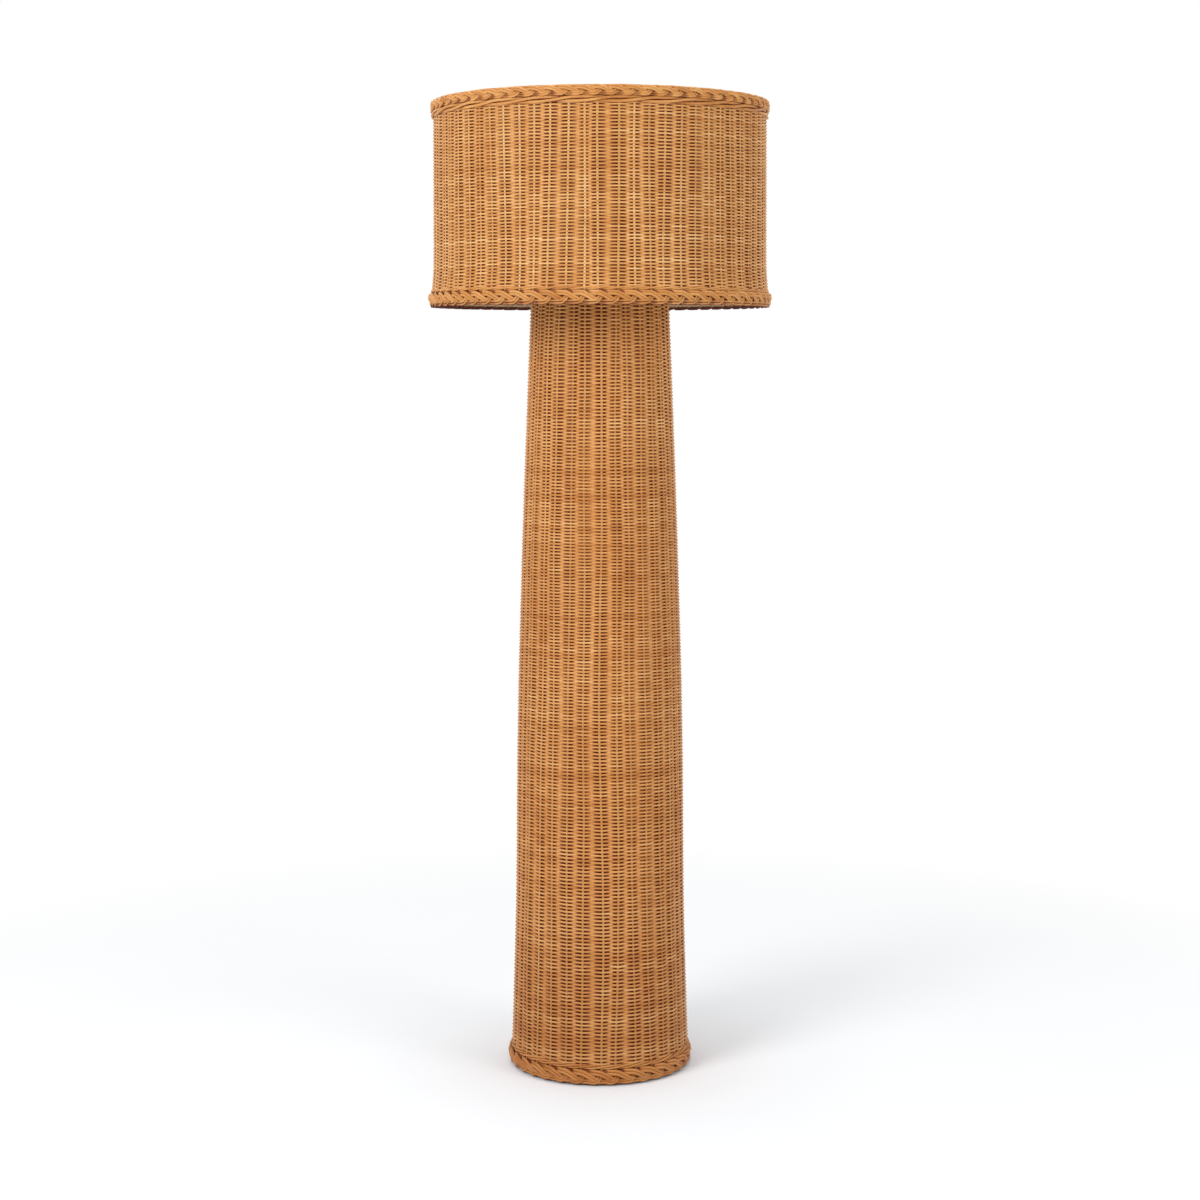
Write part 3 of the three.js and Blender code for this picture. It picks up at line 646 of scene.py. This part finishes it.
# %% Tree for the stakes
def stakes_tree(name, outline):
    """Upright rods in the middle of a woven wall."""
    tree, sizes = start_tree(name, ["Stakes", "Levels", "Seed"],
                             ["Low End", "High End", "Rod", "Wall"])
    line = add_node(tree, "GeometryNodeCurvePrimitiveLine")
    levels = add_node(tree, "GeometryNodeResampleCurve",
                      {"Curve": line, "Count": sizes["Levels"]})
    curves = copies_of(levels, sizes["Stakes"])
    stake, level = place_along(tree)
    share = level / (sizes["Levels"] - 1.0)
    rise = sizes["High End"] - sizes["Low End"]
    height = sizes["Low End"] + rise * share
    angle = stake / sizes["Stakes"] * math.tau - math.pi / 2
    radius = outline_radius(height, outline) - sizes["Wall"] / 2
    sideways, _ = hand_drift(angle, height, sizes["Stakes"])
    angle = angle + sideways / radius

    tone = random_of(stake, sizes["Seed"], 0.2, 0.76)
    tone = tone + noise_of(vector_of(stake * 1.7, height * 7.0, 0.0), detail=2.0) * 0.7
    # The ends, behind the plaits, are marked for painted shade, and the sides for painted shade in
    # the gaps
    from_end = ((share - 0.5).maths("ABSOLUTE") * -1.0 + 0.5) * rise
    curves = keep_values(curves, tone=tone, hollow=between(from_end, 0.014, 0.008),
                         length=height + stake * 1.7, upright=1.0)
    finish_tree(curves, round_place(angle, radius, height), sizes["Rod"] / 2.0, sides=8,
                finish=sizes["Cane"], caps=True)
    return tree


column_stakes_tree = stakes_tree("column_stakes_tree", column_outline)
shade_stakes_tree = stakes_tree("shade_stakes_tree", shade_outline)
print("nodes in a stakes tree:", len(column_stakes_tree.nodes))

# %% Set up the stakes
make_piece("column_stakes", column_stakes_tree, "column_weave", stakes=column_stakes,
           levels=70, low_end=0.008, high_end=1.2705, rod=stake_rod,
           wall=2 * column_reach + column_weaver, seed=31, cane=column_cane)
make_piece("shade_stakes", shade_stakes_tree, "shade_weave", stakes=shade_stakes,
           levels=18, low_end=1.214, high_end=1.508, rod=stake_rod,
           wall=2 * shade_reach + shade_weaver, seed=37, cane=shade_cane)

# %% [markdown]
# ## Plaits and wales
#
# A plait of three strands is another formula: each strand swings up and down once a turn, and
# in and out twice a turn, a third of a turn behind its neighbour. With the wave leaning, the
# strands fall slowly and climb steeply, as the long and short lobes of the real borders do.
# Each strand is two rods side by side, and a second layer lies behind the first, with painted
# shade on what faces out.
#
# A wale is the rope-like band between plait and randing. It is the same formula with one swing
# out for each swing up, so one tree lays both, and the thin rods on the rims as well.


# %% Tree for rods laid in a ring
def laid_ring_tree(name):
    """Strands that swing up and out as they go round, each of a few parallel rods."""
    tree, sizes = start_tree(
        name, ["Strands", "Rods in a Strand", "Turns", "Steps", "Seed"],
        ["Radius", "Height", "Swing Up", "Swing Out", "Lean", "Flat From", "Swings Out",
         "Lag Out", "Favour", "Rod", "Rod Spacing", "Half Height", "Crown", "Tilt", "Stain",
         "Tone"])
    ring = add_node(tree, "GeometryNodeCurvePrimitiveCircle", {"Resolution": sizes["Steps"]})
    rods = sizes["Rods in a Strand"]
    curves = copies_of(ring, sizes["Strands"] * rods)
    curve_number, step = place_along(tree)
    strand = (curve_number / rods).maths("FLOOR")
    rod = curve_number - strand * rods
    turn = step / sizes["Steps"]

    # The strand's swings, flat at the top and the bottom of each lobe
    phase = (turn * sizes["Turns"] + strand / sizes["Strands"]) * math.tau
    wave = phase + sine(phase) * sizes["Lean"]
    level = between(sine(wave), sizes["Flat From"] * -1.0, sizes["Flat From"])
    rise = (level * level * (level * -2.0 + 3.0) * 2.0 - 1.0) * sizes["Swing Up"]
    out = sine(wave * sizes["Swings Out"] + sizes["Lag Out"]) - cosine(wave) * sizes["Favour"]
    out = out * sizes["Swing Out"]

    # The slope of the strand, so that its rods lie beside each other also where it climbs
    pace = (cosine(phase) * sizes["Lean"] + 1.0) * sizes["Turns"] / sizes["Radius"]
    climb = level * (level * -1.0 + 1.0) * 6.0 / sizes["Flat From"]
    slope = climb * cosine(wave) * sizes["Swing Up"] * pace
    steep = (slope * slope + 1.0).maths("SQRT")
    beside = (rod - (rods - 1.0) / 2.0) * sizes["Rod Spacing"]
    rise = rise + beside / steep
    angle = turn * math.tau - math.pi / 2 - beside * slope / steep / sizes["Radius"]

    # The border's round back, and small uneven places
    off_middle = rise / sizes["Half Height"]
    radius = sizes["Radius"] + out - off_middle * off_middle * sizes["Crown"]
    radius = radius + rise * sizes["Tilt"]
    height = sizes["Height"] + rise
    uneven = noise_of(round_place(angle, radius, height), scale=60.0) * 0.0016
    place = round_place(angle, radius + uneven, height + uneven * 0.6)

    piece_number = (turn * 7.0 + curve_number * 0.37).maths("FLOOR")
    tone = random_of(piece_number + curve_number * 20.0, sizes["Seed"], -0.15, 0.15)
    # A strand is marked for stain and painted shade where it dips behind the others, and all over
    # in the layer behind
    curves = keep_values(curves, tone=tone + sizes["Tone"],
                         hollow=sizes["Stain"] - out / sizes["Swing Out"] * 0.5,
                         length=turn * math.tau * sizes["Radius"] + curve_number * 2.3)
    finish_tree(curves, place, sizes["Rod"] / 2.0, sides=6, finish=sizes["Cane"])
    return tree


ring_tree = laid_ring_tree("laid_ring_tree")


def lay_ring(name, node, slot="plaited_cane", **sizes):
    make_piece(name, ring_tree, node, slot, **sizes)


print("nodes in the ring tree:", len(ring_tree.nodes))

# %% What plaits and wales have in common
plait = {"strands": 3, "rods_in_a_strand": 2, "lean": 0.5, "flat_from": 0.75,
         "swings_out": 2.0, "lag_out": math.pi, "favour": 0.35, "stain": 0.1}
# The layer behind the plait is marked for painted shade all over what faces out
inner_layer = dict(plait, lean=-0.4, flat_from=0.8, favour=0.0, stain=1.2, crown=0.0,
                   tilt=0.0, half_height=0.01)
wale = {"rods_in_a_strand": 1, "lean": 0.0, "flat_from": 1.0, "swings_out": 1.0,
        "lag_out": math.pi / 2, "favour": 0.0, "half_height": 0.01, "crown": 0.0, "tilt": 0.0,
        "rod_spacing": 0.003, "stain": 0.2, "tone": 0.35}
shade_laps = {"turns": 22, "steps": 352, "tone": 0.38, "cane": shade_cane}
foot_laps = {"turns": 11, "steps": 220, "tone": 0.3, "cane": column_cane}
print("lobes round the shade:", shade_laps["turns"], "and round the foot:", foot_laps["turns"])

# %% Plaits of the shade
# The top plait gets more painted shade where its strands dip
lay_ring("shade_top_plait", "shade_top_braid", **dict(plait, stain=0.22), **shade_laps,
         radius=0.2592, height=1.5150, swing_up=0.0046, swing_out=0.0020, rod=0.0038,
         rod_spacing=0.0032, half_height=0.0085, crown=0.0015, tilt=-0.16, seed=41)
lay_ring("shade_top_inside", "shade_top_braid", **inner_layer, **shade_laps, radius=0.2555,
         height=1.5080, swing_up=0.0060, swing_out=0.0012, rod=0.0050, rod_spacing=0.0045,
         seed=42)
lay_ring("shade_bottom_plait", "shade_bottom_braid", **plait, **shade_laps, radius=0.2640,
         height=1.2190, swing_up=0.0068, swing_out=0.0022, rod=0.0044, rod_spacing=0.0038,
         half_height=0.0115, crown=0.0035, tilt=0.08, seed=43)
lay_ring("shade_bottom_inside", "shade_bottom_braid", **inner_layer, **shade_laps,
         radius=0.2595, height=1.2200, swing_up=0.0064, swing_out=0.0012, rod=0.0042,
         rod_spacing=0.0040, seed=44)

# %% Plaits of the column
lay_ring("column_foot_plait", "column_foot_braid", **dict(plait, favour=0.7), **foot_laps,
         radius=0.1430, height=0.0145, swing_up=0.0076, swing_out=0.0024, rod=0.0050,
         rod_spacing=0.0044, half_height=0.012, crown=0.0025, tilt=-0.06, seed=47)
lay_ring("column_foot_inside", "column_foot_braid", **inner_layer, **foot_laps, radius=0.1388,
         height=0.0155, swing_up=0.0064, swing_out=0.0012, rod=0.0042, rod_spacing=0.0040,
         seed=48)
lay_ring("column_top_plait", "column_top_border", **plait, turns=16, steps=192,
         radius=0.1035, height=1.2700, swing_up=0.0026, swing_out=0.0018, rod=0.0024,
         rod_spacing=0.0021, half_height=0.005, crown=0.001, tilt=-0.05, tone=0.3, seed=53,
         cane=column_cane)

# %% Rim rods
lay_ring("shade_top_rim", "shade_top_braid", **wale, strands=2, turns=11, steps=176,
         radius=0.2560, height=1.5210, swing_up=0.0007, swing_out=0.0014, rod=0.0036, seed=71,
         cane=shade_cane)
lay_ring("column_foot_rim", "column_foot_braid", **wale, strands=2, turns=7, steps=176,
         radius=0.1412, height=0.0056, swing_up=0.0006, swing_out=0.0016, rod=0.0036, seed=73,
         cane=column_cane)

# %% Wales
lay_ring("shade_top_wale", "shade_top_braid", "cane", **wale, strands=3, turns=9, steps=264,
         radius=0.2578, height=1.5024, swing_up=0.0030, swing_out=0.0022, rod=0.0044, seed=59,
         cane=shade_cane)
lay_ring("shade_bottom_wale", "shade_weave", "cane", **wale, strands=3, turns=22, steps=264,
         radius=0.2600, height=1.2325, swing_up=0.0014, swing_out=0.0022, rod=0.0034, seed=61,
         cane=shade_cane)
lay_ring("column_foot_wale", "column_weave", "cane", **wale, strands=4, turns=8, steps=128,
         radius=0.1392, height=0.0302, swing_up=0.0022, swing_out=0.0030, rod=0.0034, seed=67,
         cane=column_cane)

# %% [markdown]
# ## Metal, wood, rubber and glass
#
# These parts are machine made. Their finishes are plain, so small uneven things carry them:
# brushing, a fleck of grime, a soft change of gloss. Nothing here is one flat colour.


# %% Metals
def metal_finish(name, light_colour, dark_colour, roughness, fleck_scale=300.0, metallic=1.0):
    """Metal or enamel with fine brushing, and flecks that change its colour and gloss."""
    material, shader, place, _ = start_material(name)
    brushed = noise_of(stretched(place, (40.0, 40.0, 900.0)), detail=3.0)
    patina = noise_of(place, fleck_scale, detail=4.0, roughness=0.6)
    share = between(patina + brushed * 0.4, -0.35, 0.4)
    feed(shader, {
        "Base Color": ramp(share, [(0.0, dark_colour), (1.0, light_colour)]),
        "Roughness": patina * 0.25 + brushed * 0.1 + roughness,
        "Metallic": metallic,
        "Normal": bump(brushed + patina, strength=0.15, distance=0.0002),
    })
    return material


brass = metal_finish("satin_brass", linear(212, 172, 104), linear(160, 118, 62), 0.32)
zinc = metal_finish("zinc_plate", linear(196, 198, 202), linear(140, 143, 148), 0.38)
enamel = metal_finish("black_enamel", linear(46, 44, 42), linear(24, 22, 21), 0.45, metallic=0.0)
iron = metal_finish("cast_iron", linear(92, 88, 84), linear(52, 49, 47), 0.7, 180.0)
print("metals:", brass.name, zinc.name, enamel.name, iron.name)


# %% Plywood, rubber, phenolic, fibre and glass
def plywood_finish():
    """Grain along the sheet's face, and the edges of its plies on the rim."""
    material, shader, place, facing = start_material("birch_plywood")
    height = parts_of(place)[2]
    up = parts_of(facing)[2]
    grain = noise_of(stretched(place, (220.0, 14.0, 220.0)), detail=4.0, roughness=0.6)
    plies = sine(height * 2200.0) * between(up.maths("ABSOLUTE"), 0.6, 0.2)
    share = between(grain + plies * 0.25, -0.4, 0.4)
    feed(shader, {
        "Base Color": ramp(share, [(0.0, linear(166, 128, 84)), (1.0, linear(216, 186, 142))]),
        "Roughness": grain * 0.2 + 0.65,
        "Normal": bump(grain, strength=0.3, distance=0.0003),
    })
    return material


def moulded_finish(name, light_colour, dark_colour, roughness, grain_scale):
    """A moulded or blown material with fine grain and soft clouds."""
    material, shader, place, _ = start_material(name)
    grain = noise_of(place, grain_scale, detail=3.0)
    cloud = noise_of(place, scale=40.0, detail=2.0)
    share = between(grain * 0.6 + cloud, -0.4, 0.4)
    feed(shader, {
        "Base Color": ramp(share, [(0.0, dark_colour), (1.0, light_colour)]),
        "Roughness": cloud * 0.2 + roughness,
        "Normal": bump(grain, strength=0.2, distance=0.0002),
    })
    return material


plywood = plywood_finish()
rubber = moulded_finish("matt_rubber", linear(44, 43, 42), linear(24, 23, 22), 0.8, 900.0)
phenolic = moulded_finish("dark_phenolic", linear(52, 40, 33), linear(30, 22, 18), 0.35, 600.0)
fibre = moulded_finish("fibre_sleeve", linear(168, 138, 100), linear(128, 100, 68), 0.85, 500.0)
opal = moulded_finish("opal_glass", linear(244, 241, 232), linear(232, 227, 214), 0.22, 60.0)
print("other finishes:", plywood.name, rubber.name, phenolic.name, fibre.name, opal.name)

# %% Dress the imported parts
finish_of_slot = {
    "plywood": plywood, "black_steel": enamel, "zinc_steel": zinc, "brass": brass,
    "cast_iron": iron, "rubber": rubber, "phenolic": phenolic, "fibre_board": fibre,
    "opal_glass": opal, "cane": column_cane, "plaited_cane": column_cane,
}
for node, slot in slot_of.items():
    materials = frame["nodes"][node].data.materials
    materials.clear()
    materials.append(finish_of_slot[slot])
print("dressed parts:", len(slot_of))

# %% [markdown]
# ## Round parts without facets
#
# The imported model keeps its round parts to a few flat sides, enough to collide and to mount.
# The real ones are turned, spun or drawn, so they are truly round, and no edge is sharp. Here a
# turned part is the outline of its half, eased at each corner and spun round an axis, a wire is
# a tube along a path, and the key hole is drilled by a boolean. Loops make the turned parts,
# because an outline is shorter than its tree. Sizes are in millimetres, as on a drawing.

# %% Curves and eased corners
mm = 0.001


def bezier(start, leave, arrive, end, steps):
    """Points on a curve from start to end that leaves and arrives along its two handles."""
    points = []
    for step in range(steps + 1):
        t = step / steps
        weights = ((1 - t) ** 3, 3 * t * (1 - t) ** 2, 3 * t * t * (1 - t), t ** 3)
        points.append(tuple(sum(weight * value for weight, value in zip(weights, values))
                            for values in zip(start, leave, arrive, end)))
    return points


def toward(point, other, distance):
    """A place a little way from a point to another one."""
    share = min(distance / math.dist(point, other), 0.45)
    return tuple(a + (b - a) * share for a, b in zip(point, other))


def eased(outline, ease, closed):
    """An outline with a small curve at each corner."""
    points = []
    for index, corner in enumerate(outline):
        if not closed and index in (0, len(outline) - 1):
            points.append(corner)
            continue
        before = toward(corner, outline[index - 1], ease)
        after = toward(corner, outline[(index + 1) % len(outline)], ease)
        points += bezier(before, corner, corner, after, 3)
    return points


print("corners can be eased")


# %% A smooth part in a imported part's place, and a drill
def box_in_mm(node):
    """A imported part's lowest and highest corner."""
    return [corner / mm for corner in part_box(node)]


def smooth_stand_in(mesh, node):
    """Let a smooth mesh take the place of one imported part, with the same finish."""
    mesh.shade_smooth()
    mesh.set_sharp_from_angle(angle=math.radians(55))
    mesh.materials.append(finish_of_slot[slot_of[node]])
    stand_for(put_in_scene("round_" + node, mesh), node)


def drilled(mesh, middle, depth, radius):
    """A mesh with a round hole from front to back, as deep as the drill round its middle."""
    place = Matrix.Translation(middle) @ Matrix.Rotation(math.pi / 2, 4, "X")
    drill = bmesh.new()
    bmesh.ops.create_cone(drill, cap_ends=True, segments=32, radius1=radius, radius2=radius,
                          depth=depth, matrix=Matrix.Scale(mm, 4) @ place)
    bit = put_in_scene("drill_bit", bpy.data.meshes.new("drill_bit"))
    drill.to_mesh(bit.data)
    drill.free()
    work = put_in_scene("work", mesh)
    cut = work.modifiers.new("hole", "BOOLEAN")
    cut.object = bit
    cut.solver = "EXACT"
    graph = bpy.context.evaluated_depsgraph_get()
    result = bpy.data.meshes.new_from_object(work.evaluated_get(graph))
    for item in (work, bit):
        bpy.data.objects.remove(item)
    return result


print("drill ready")


# %% Turned parts and bent wire
def turned(node, outline, ease=0.5, sides=48, x=0, y=0, z=None, turn=Matrix(), ribs=0,
           rib_share=0.0, hole=None):
    """Spin an outline of radius and height round an axis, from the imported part's own foot.

    An outline that starts on the axis is open, any other is closed. Ribs cut into the widest
    part, and a hole is drilled last.
    """
    closed = outline[0][0] > 0
    points = eased(outline, ease, closed) if ease else outline
    widest = max(radius for radius, _ in points)
    shape = bmesh.new()
    rows = []
    for side in range(sides):
        angle = math.tau * side / sides
        cut = rib_share * (0.5 - 0.5 * math.cos(ribs * angle))
        row = []
        for radius, height in points:
            reach = radius * (1 - cut) if radius > widest * 0.8 else radius
            row.append(shape.verts.new((reach * math.cos(angle), reach * math.sin(angle), height)))
        rows.append(row)
    spans = len(points) if closed else len(points) - 1
    for row, following in zip(rows, rows[1:] + rows[:1]):
        for low in range(spans):
            high = (low + 1) % len(points)
            shape.faces.new((row[low], following[low], following[high], row[high]))
    bmesh.ops.remove_doubles(shape, verts=shape.verts, dist=0.001)
    bmesh.ops.recalc_face_normals(shape, faces=shape.faces)
    foot = box_in_mm(node)[0].z if z is None else z
    shape.transform(Matrix.Scale(mm, 4) @ Matrix.Translation((x, y, foot)) @ turn)
    mesh = bpy.data.meshes.new("round_" + node)
    shape.to_mesh(mesh)
    shape.free()
    smooth_stand_in(drilled(mesh, *hole) if hole else mesh, node)


def bent(node, path, wire):
    """A round wire through places, each with its handle before and after."""
    curve = bpy.data.curves.new(node + "_path", "CURVE")
    curve.dimensions = "3D"
    curve.bevel_depth = wire / 2 * mm
    curve.bevel_resolution = 3
    curve.resolution_u = 24
    curve.use_fill_caps = True
    spline = curve.splines.new("BEZIER")
    spline.bezier_points.add(len(path) - 1)
    for point, places in zip(spline.bezier_points, path):
        place, before, after = [[value * mm for value in corner] for corner in places]
        point.co = place
        point.handle_left = before
        point.handle_right = after
    line = bpy.data.objects.new(node + "_path", curve)
    mesh = bpy.data.meshes.new_from_object(line)
    mesh.name = "round_" + node
    bpy.data.objects.remove(line)
    smooth_stand_in(mesh, node)


print("lathe and bender ready")

# %% Shade fitting
wire = 4
hub_radius = 13
for node in ("shade_top_ring", "shade_bottom_ring"):
    low, high = box_in_mm(node)
    middle = (high.z - low.z) / 2
    section = [(high.x - middle + wire / 2 * math.cos(side * math.tau / 12),
                middle + wire / 2 * math.sin(side * math.tau / 12)) for side in range(12)]
    turned(node, section, ease=0, sides=160)

hub_low, hub_high = box_in_mm("spider_hub")
hub_middle = (hub_low.z + hub_high.z) / 2
ring_low, ring_high = box_in_mm("shade_top_ring")
ring_middle = (ring_low.z + ring_high.z) / 2
arm_end = ring_high.x - wire
rise_start = arm_end - 26
for arm in range(3):
    angle = math.pi / 2 + arm * math.tau / 3
    path = []
    for reaches, height in (((hub_radius - 1,) * 3, hub_middle),
                            ((rise_start, rise_start - 10, rise_start + 13), hub_middle),
                            ((arm_end, arm_end - 13, arm_end), ring_middle)):
        path.append([(reach * math.cos(angle), reach * math.sin(angle), height)
                     for reach in reaches])
    bent(f"spider_arm_{arm + 1}", path, wire)

turned("spider_hub", [(3.4, 0), (hub_radius, 0), (hub_radius, 2.6), (8.5, 4), (3.4, 4)],
       ease=0.6)
finial_ball = bezier((4.2, 6.5), (11, 7.5), (11, 24), (0, 24), 24)
turned("finial", [(0, 13), (3.4, 13), (3.4, 0), (9.5, 0), (9.5, 2.2), (5.2, 4)] + finial_ball,
       ease=0.3)

# %% Harp
harp_low, harp_high = box_in_mm("harp")
leg, harp_top, bend = 32, harp_high.z - wire / 2, harp_low.z + 32
half_harp = [((leg, 0, harp_low.z),) * 3,
             ((leg, 0, bend), (leg, 0, bend - 10), (leg, 0, bend + 62))]
crown = [((0, 0, harp_top), (112, 0, harp_top), (-112, 0, harp_top))]
mirrored = [tuple((-x, y, z) for x, y, z in (place, after, before))
            for place, before, after in reversed(half_harp)]
bent("harp", half_harp + crown + mirrored, wire)
turned("harp_stud", [(0, 0), (7, 0), (7, 3), (3, 3), (3, 16), (0, 16)], ease=0.8, sides=32)
for side, node in ((-1, "harp_sleeve_left"), (1, "harp_sleeve_right")):
    turned(node, [(2.4, 0), (4, 0), (4, 20), (2.4, 20)], ease=0.6, sides=32, x=side * leg)

# %% Lampholder
knob_low, knob_high = box_in_mm("turn_knob")
key_height = (knob_low.z + knob_high.z) / 2
key_hole = ((0, -17, key_height), 20, 4)
cap_dome = bezier((9.5, 4.5), (14.5, 5), (18.5, 7), (19, 11), 6)
turned("socket_cap", [(5.4, 0), (9.5, 0)] + cap_dome
       + [(19.5, 11.8), (19.5, 20), (17.8, 20), (17.8, 10.7), (5.4, 5)], ease=0.3)
turned("socket_shell", [(16.5, 0), (17.5, 0), (17.5, 42.5), (17.9, 43.2), (17.9, 44.8),
                        (17.5, 45.5), (17.5, 50.8), (17.9, 51.3), (17.9, 52), (16.5, 52)],
       ease=0.3, sides=64, hole=key_hole)
turned("socket_liner", [(15.4, 0), (16.2, 0), (16.2, 52), (15.4, 52)], ease=0, sides=64,
       z=box_in_mm("socket_shell")[0].z, hole=key_hole)

# %% Bulb and knob
glass_side = bezier((13.6, 0.6), (14, 20), (24, 22), (28.3, 42), 12)
glass_top = bezier((28.3, 42), (33, 64), (19, 82), (0, 82), 16)
turned("bulb_glass", [(0, 0), (13, 0)] + glass_side + glass_top[1:], ease=0)
turned("turn_knob", [(0, 0), (2.2, 0), (2.2, 12), (6, 12), (6.5, 13.5), (6.2, 21.5), (4.8, 23),
                     (0, 22.2)], sides=80, ribs=10, rib_share=0.12, y=knob_high.y,
       z=key_height, turn=Matrix.Rotation(math.pi / 2, 4, "X"))

# %% Boards and washers
pipe_hole = 5.4
for node in ("top_washer", "bottom_washer", "column_top_cap"):
    low, high = box_in_mm(node)
    top = high.z - low.z
    turned(node, [(pipe_hole, 0), (high.x, 0), (high.x, top), (pipe_hole, top)], ease=0.4,
           sides=96)
low, high = box_in_mm("base_board")
top = high.z - low.z
turned("base_board", [(pipe_hole, top), (high.x, top), (high.x, 0), (19, 0), (19, 8),
                      (pipe_hole, 8)], ease=1, sides=128)

# %% Feet and inlet
for foot in range(4):
    node = f"foot_pad_{foot + 1}"
    low, high = box_in_mm(node)
    turned(node, [(0, 1.1), (2.2, 1.1), (3, 0), (7.2, 0), (8, 0.8), (8, 3), (0, 3)], ease=0.3,
           sides=32, x=(low.x + high.x) / 2, y=(low.y + high.y) / 2)
low, high = box_in_mm("cord_grommet")
deep = high.y - low.y
turned("cord_grommet", [(3.5, 0), (6, 0), (6, deep - 2.5), (9, deep - 2.5), (9, deep - 1.2),
                        (6.6, deep), (3.5, deep)], sides=40, x=(low.x + high.x) / 2, y=low.y,
       z=(low.z + high.z) / 2, turn=Matrix.Rotation(-math.pi / 2, 4, "X"))

# %% [markdown]
# ## Studio
#
# A white room with wide soft lamps: one from the front left, two weaker ones from the right and
# from overhead. The floor near the foot is real and takes the shadow, and further out it turns
# into plain white, so that no horizon shows.


# %% Floor
def seen_directly(tree):
    """One for what the camera sees, also in metal or through glass, and nought for light."""
    light = add_node(tree, "ShaderNodeLightPath")
    seen = Flow(tree, light.outputs["Is Camera Ray"])
    for ray in ("Is Glossy Ray", "Is Transmission Ray"):
        seen = seen.maths("MAXIMUM", Flow(tree, light.outputs[ray]))
    return seen


def floor_finish():
    """Pale paper near the lamp that turns into plain white further out."""
    material, shader, place, _ = start_material("studio_floor")
    x, y, _ = parts_of(place)
    distance = (x * x + y * y).maths("SQRT")
    uneven = noise_of(place, scale=3.0, detail=2.0) + 0.5
    stops = [(0.0, linear(240, 243, 247)), (1.0, linear(245, 249, 252))]
    feed(shader, {"Base Color": ramp(uneven, stops), "Roughness": 0.9, "Specular IOR Level": 0.1})
    tree = material.node_tree
    glow = add_node(tree, "ShaderNodeEmission", {"Color": white})
    white_share = between(distance, 0.25, 1.6) * seen_directly(tree)
    mix = add_node(tree, "ShaderNodeMixShader", {0: white_share, 1: shader, 2: glow})
    feed(tree.nodes["Material Output"], {"Surface": mix})
    return material


edge = 12.0
floor_mesh = bpy.data.meshes.new("studio_floor")
floor_mesh.from_pydata([(-edge, -edge, 0), (edge, -edge, 0), (edge, edge, 0), (-edge, edge, 0)],
                       [], [(0, 1, 2, 3)])
floor = put_in_scene("studio_floor", floor_mesh)
floor.data.materials.append(floor_finish())
print("floor", edge * 2, "m wide")


# %% Lamps and room light
def soft_lamp(name, place, size, power):
    """A wide lamp that looks at the middle of the object."""
    data = bpy.data.lights.new(name, "AREA")
    data.shape = "DISK"
    data.size = size
    data.energy = power
    lamp = put_in_scene(name, data)
    lamp.location = place
    aim = lamp.location.copy()
    aim.z -= 0.75
    lamp.rotation_euler = aim.to_track_quat("Z", "Y").to_euler()


soft_lamp("left_lamp", (-2.4, -2.6, 2.25), 1.8, 87.0)
soft_lamp("right_lamp", (2.8, -2.2, 1.6), 2.0, 43.0)
soft_lamp("top_lamp", (0.0, 0.3, 3.6), 2.2, 43.0)

room_light = 0.5
world = bpy.data.worlds.new("white_room")
world.use_nodes = True
bpy.context.scene.world = world
strength = seen_directly(world.node_tree) * (1.0 - room_light) + room_light
feed(world.node_tree.nodes["Background"], {"Color": white, "Strength": strength})
bpy.context.scene.view_settings.view_transform = "Standard"
print("room light", room_light)
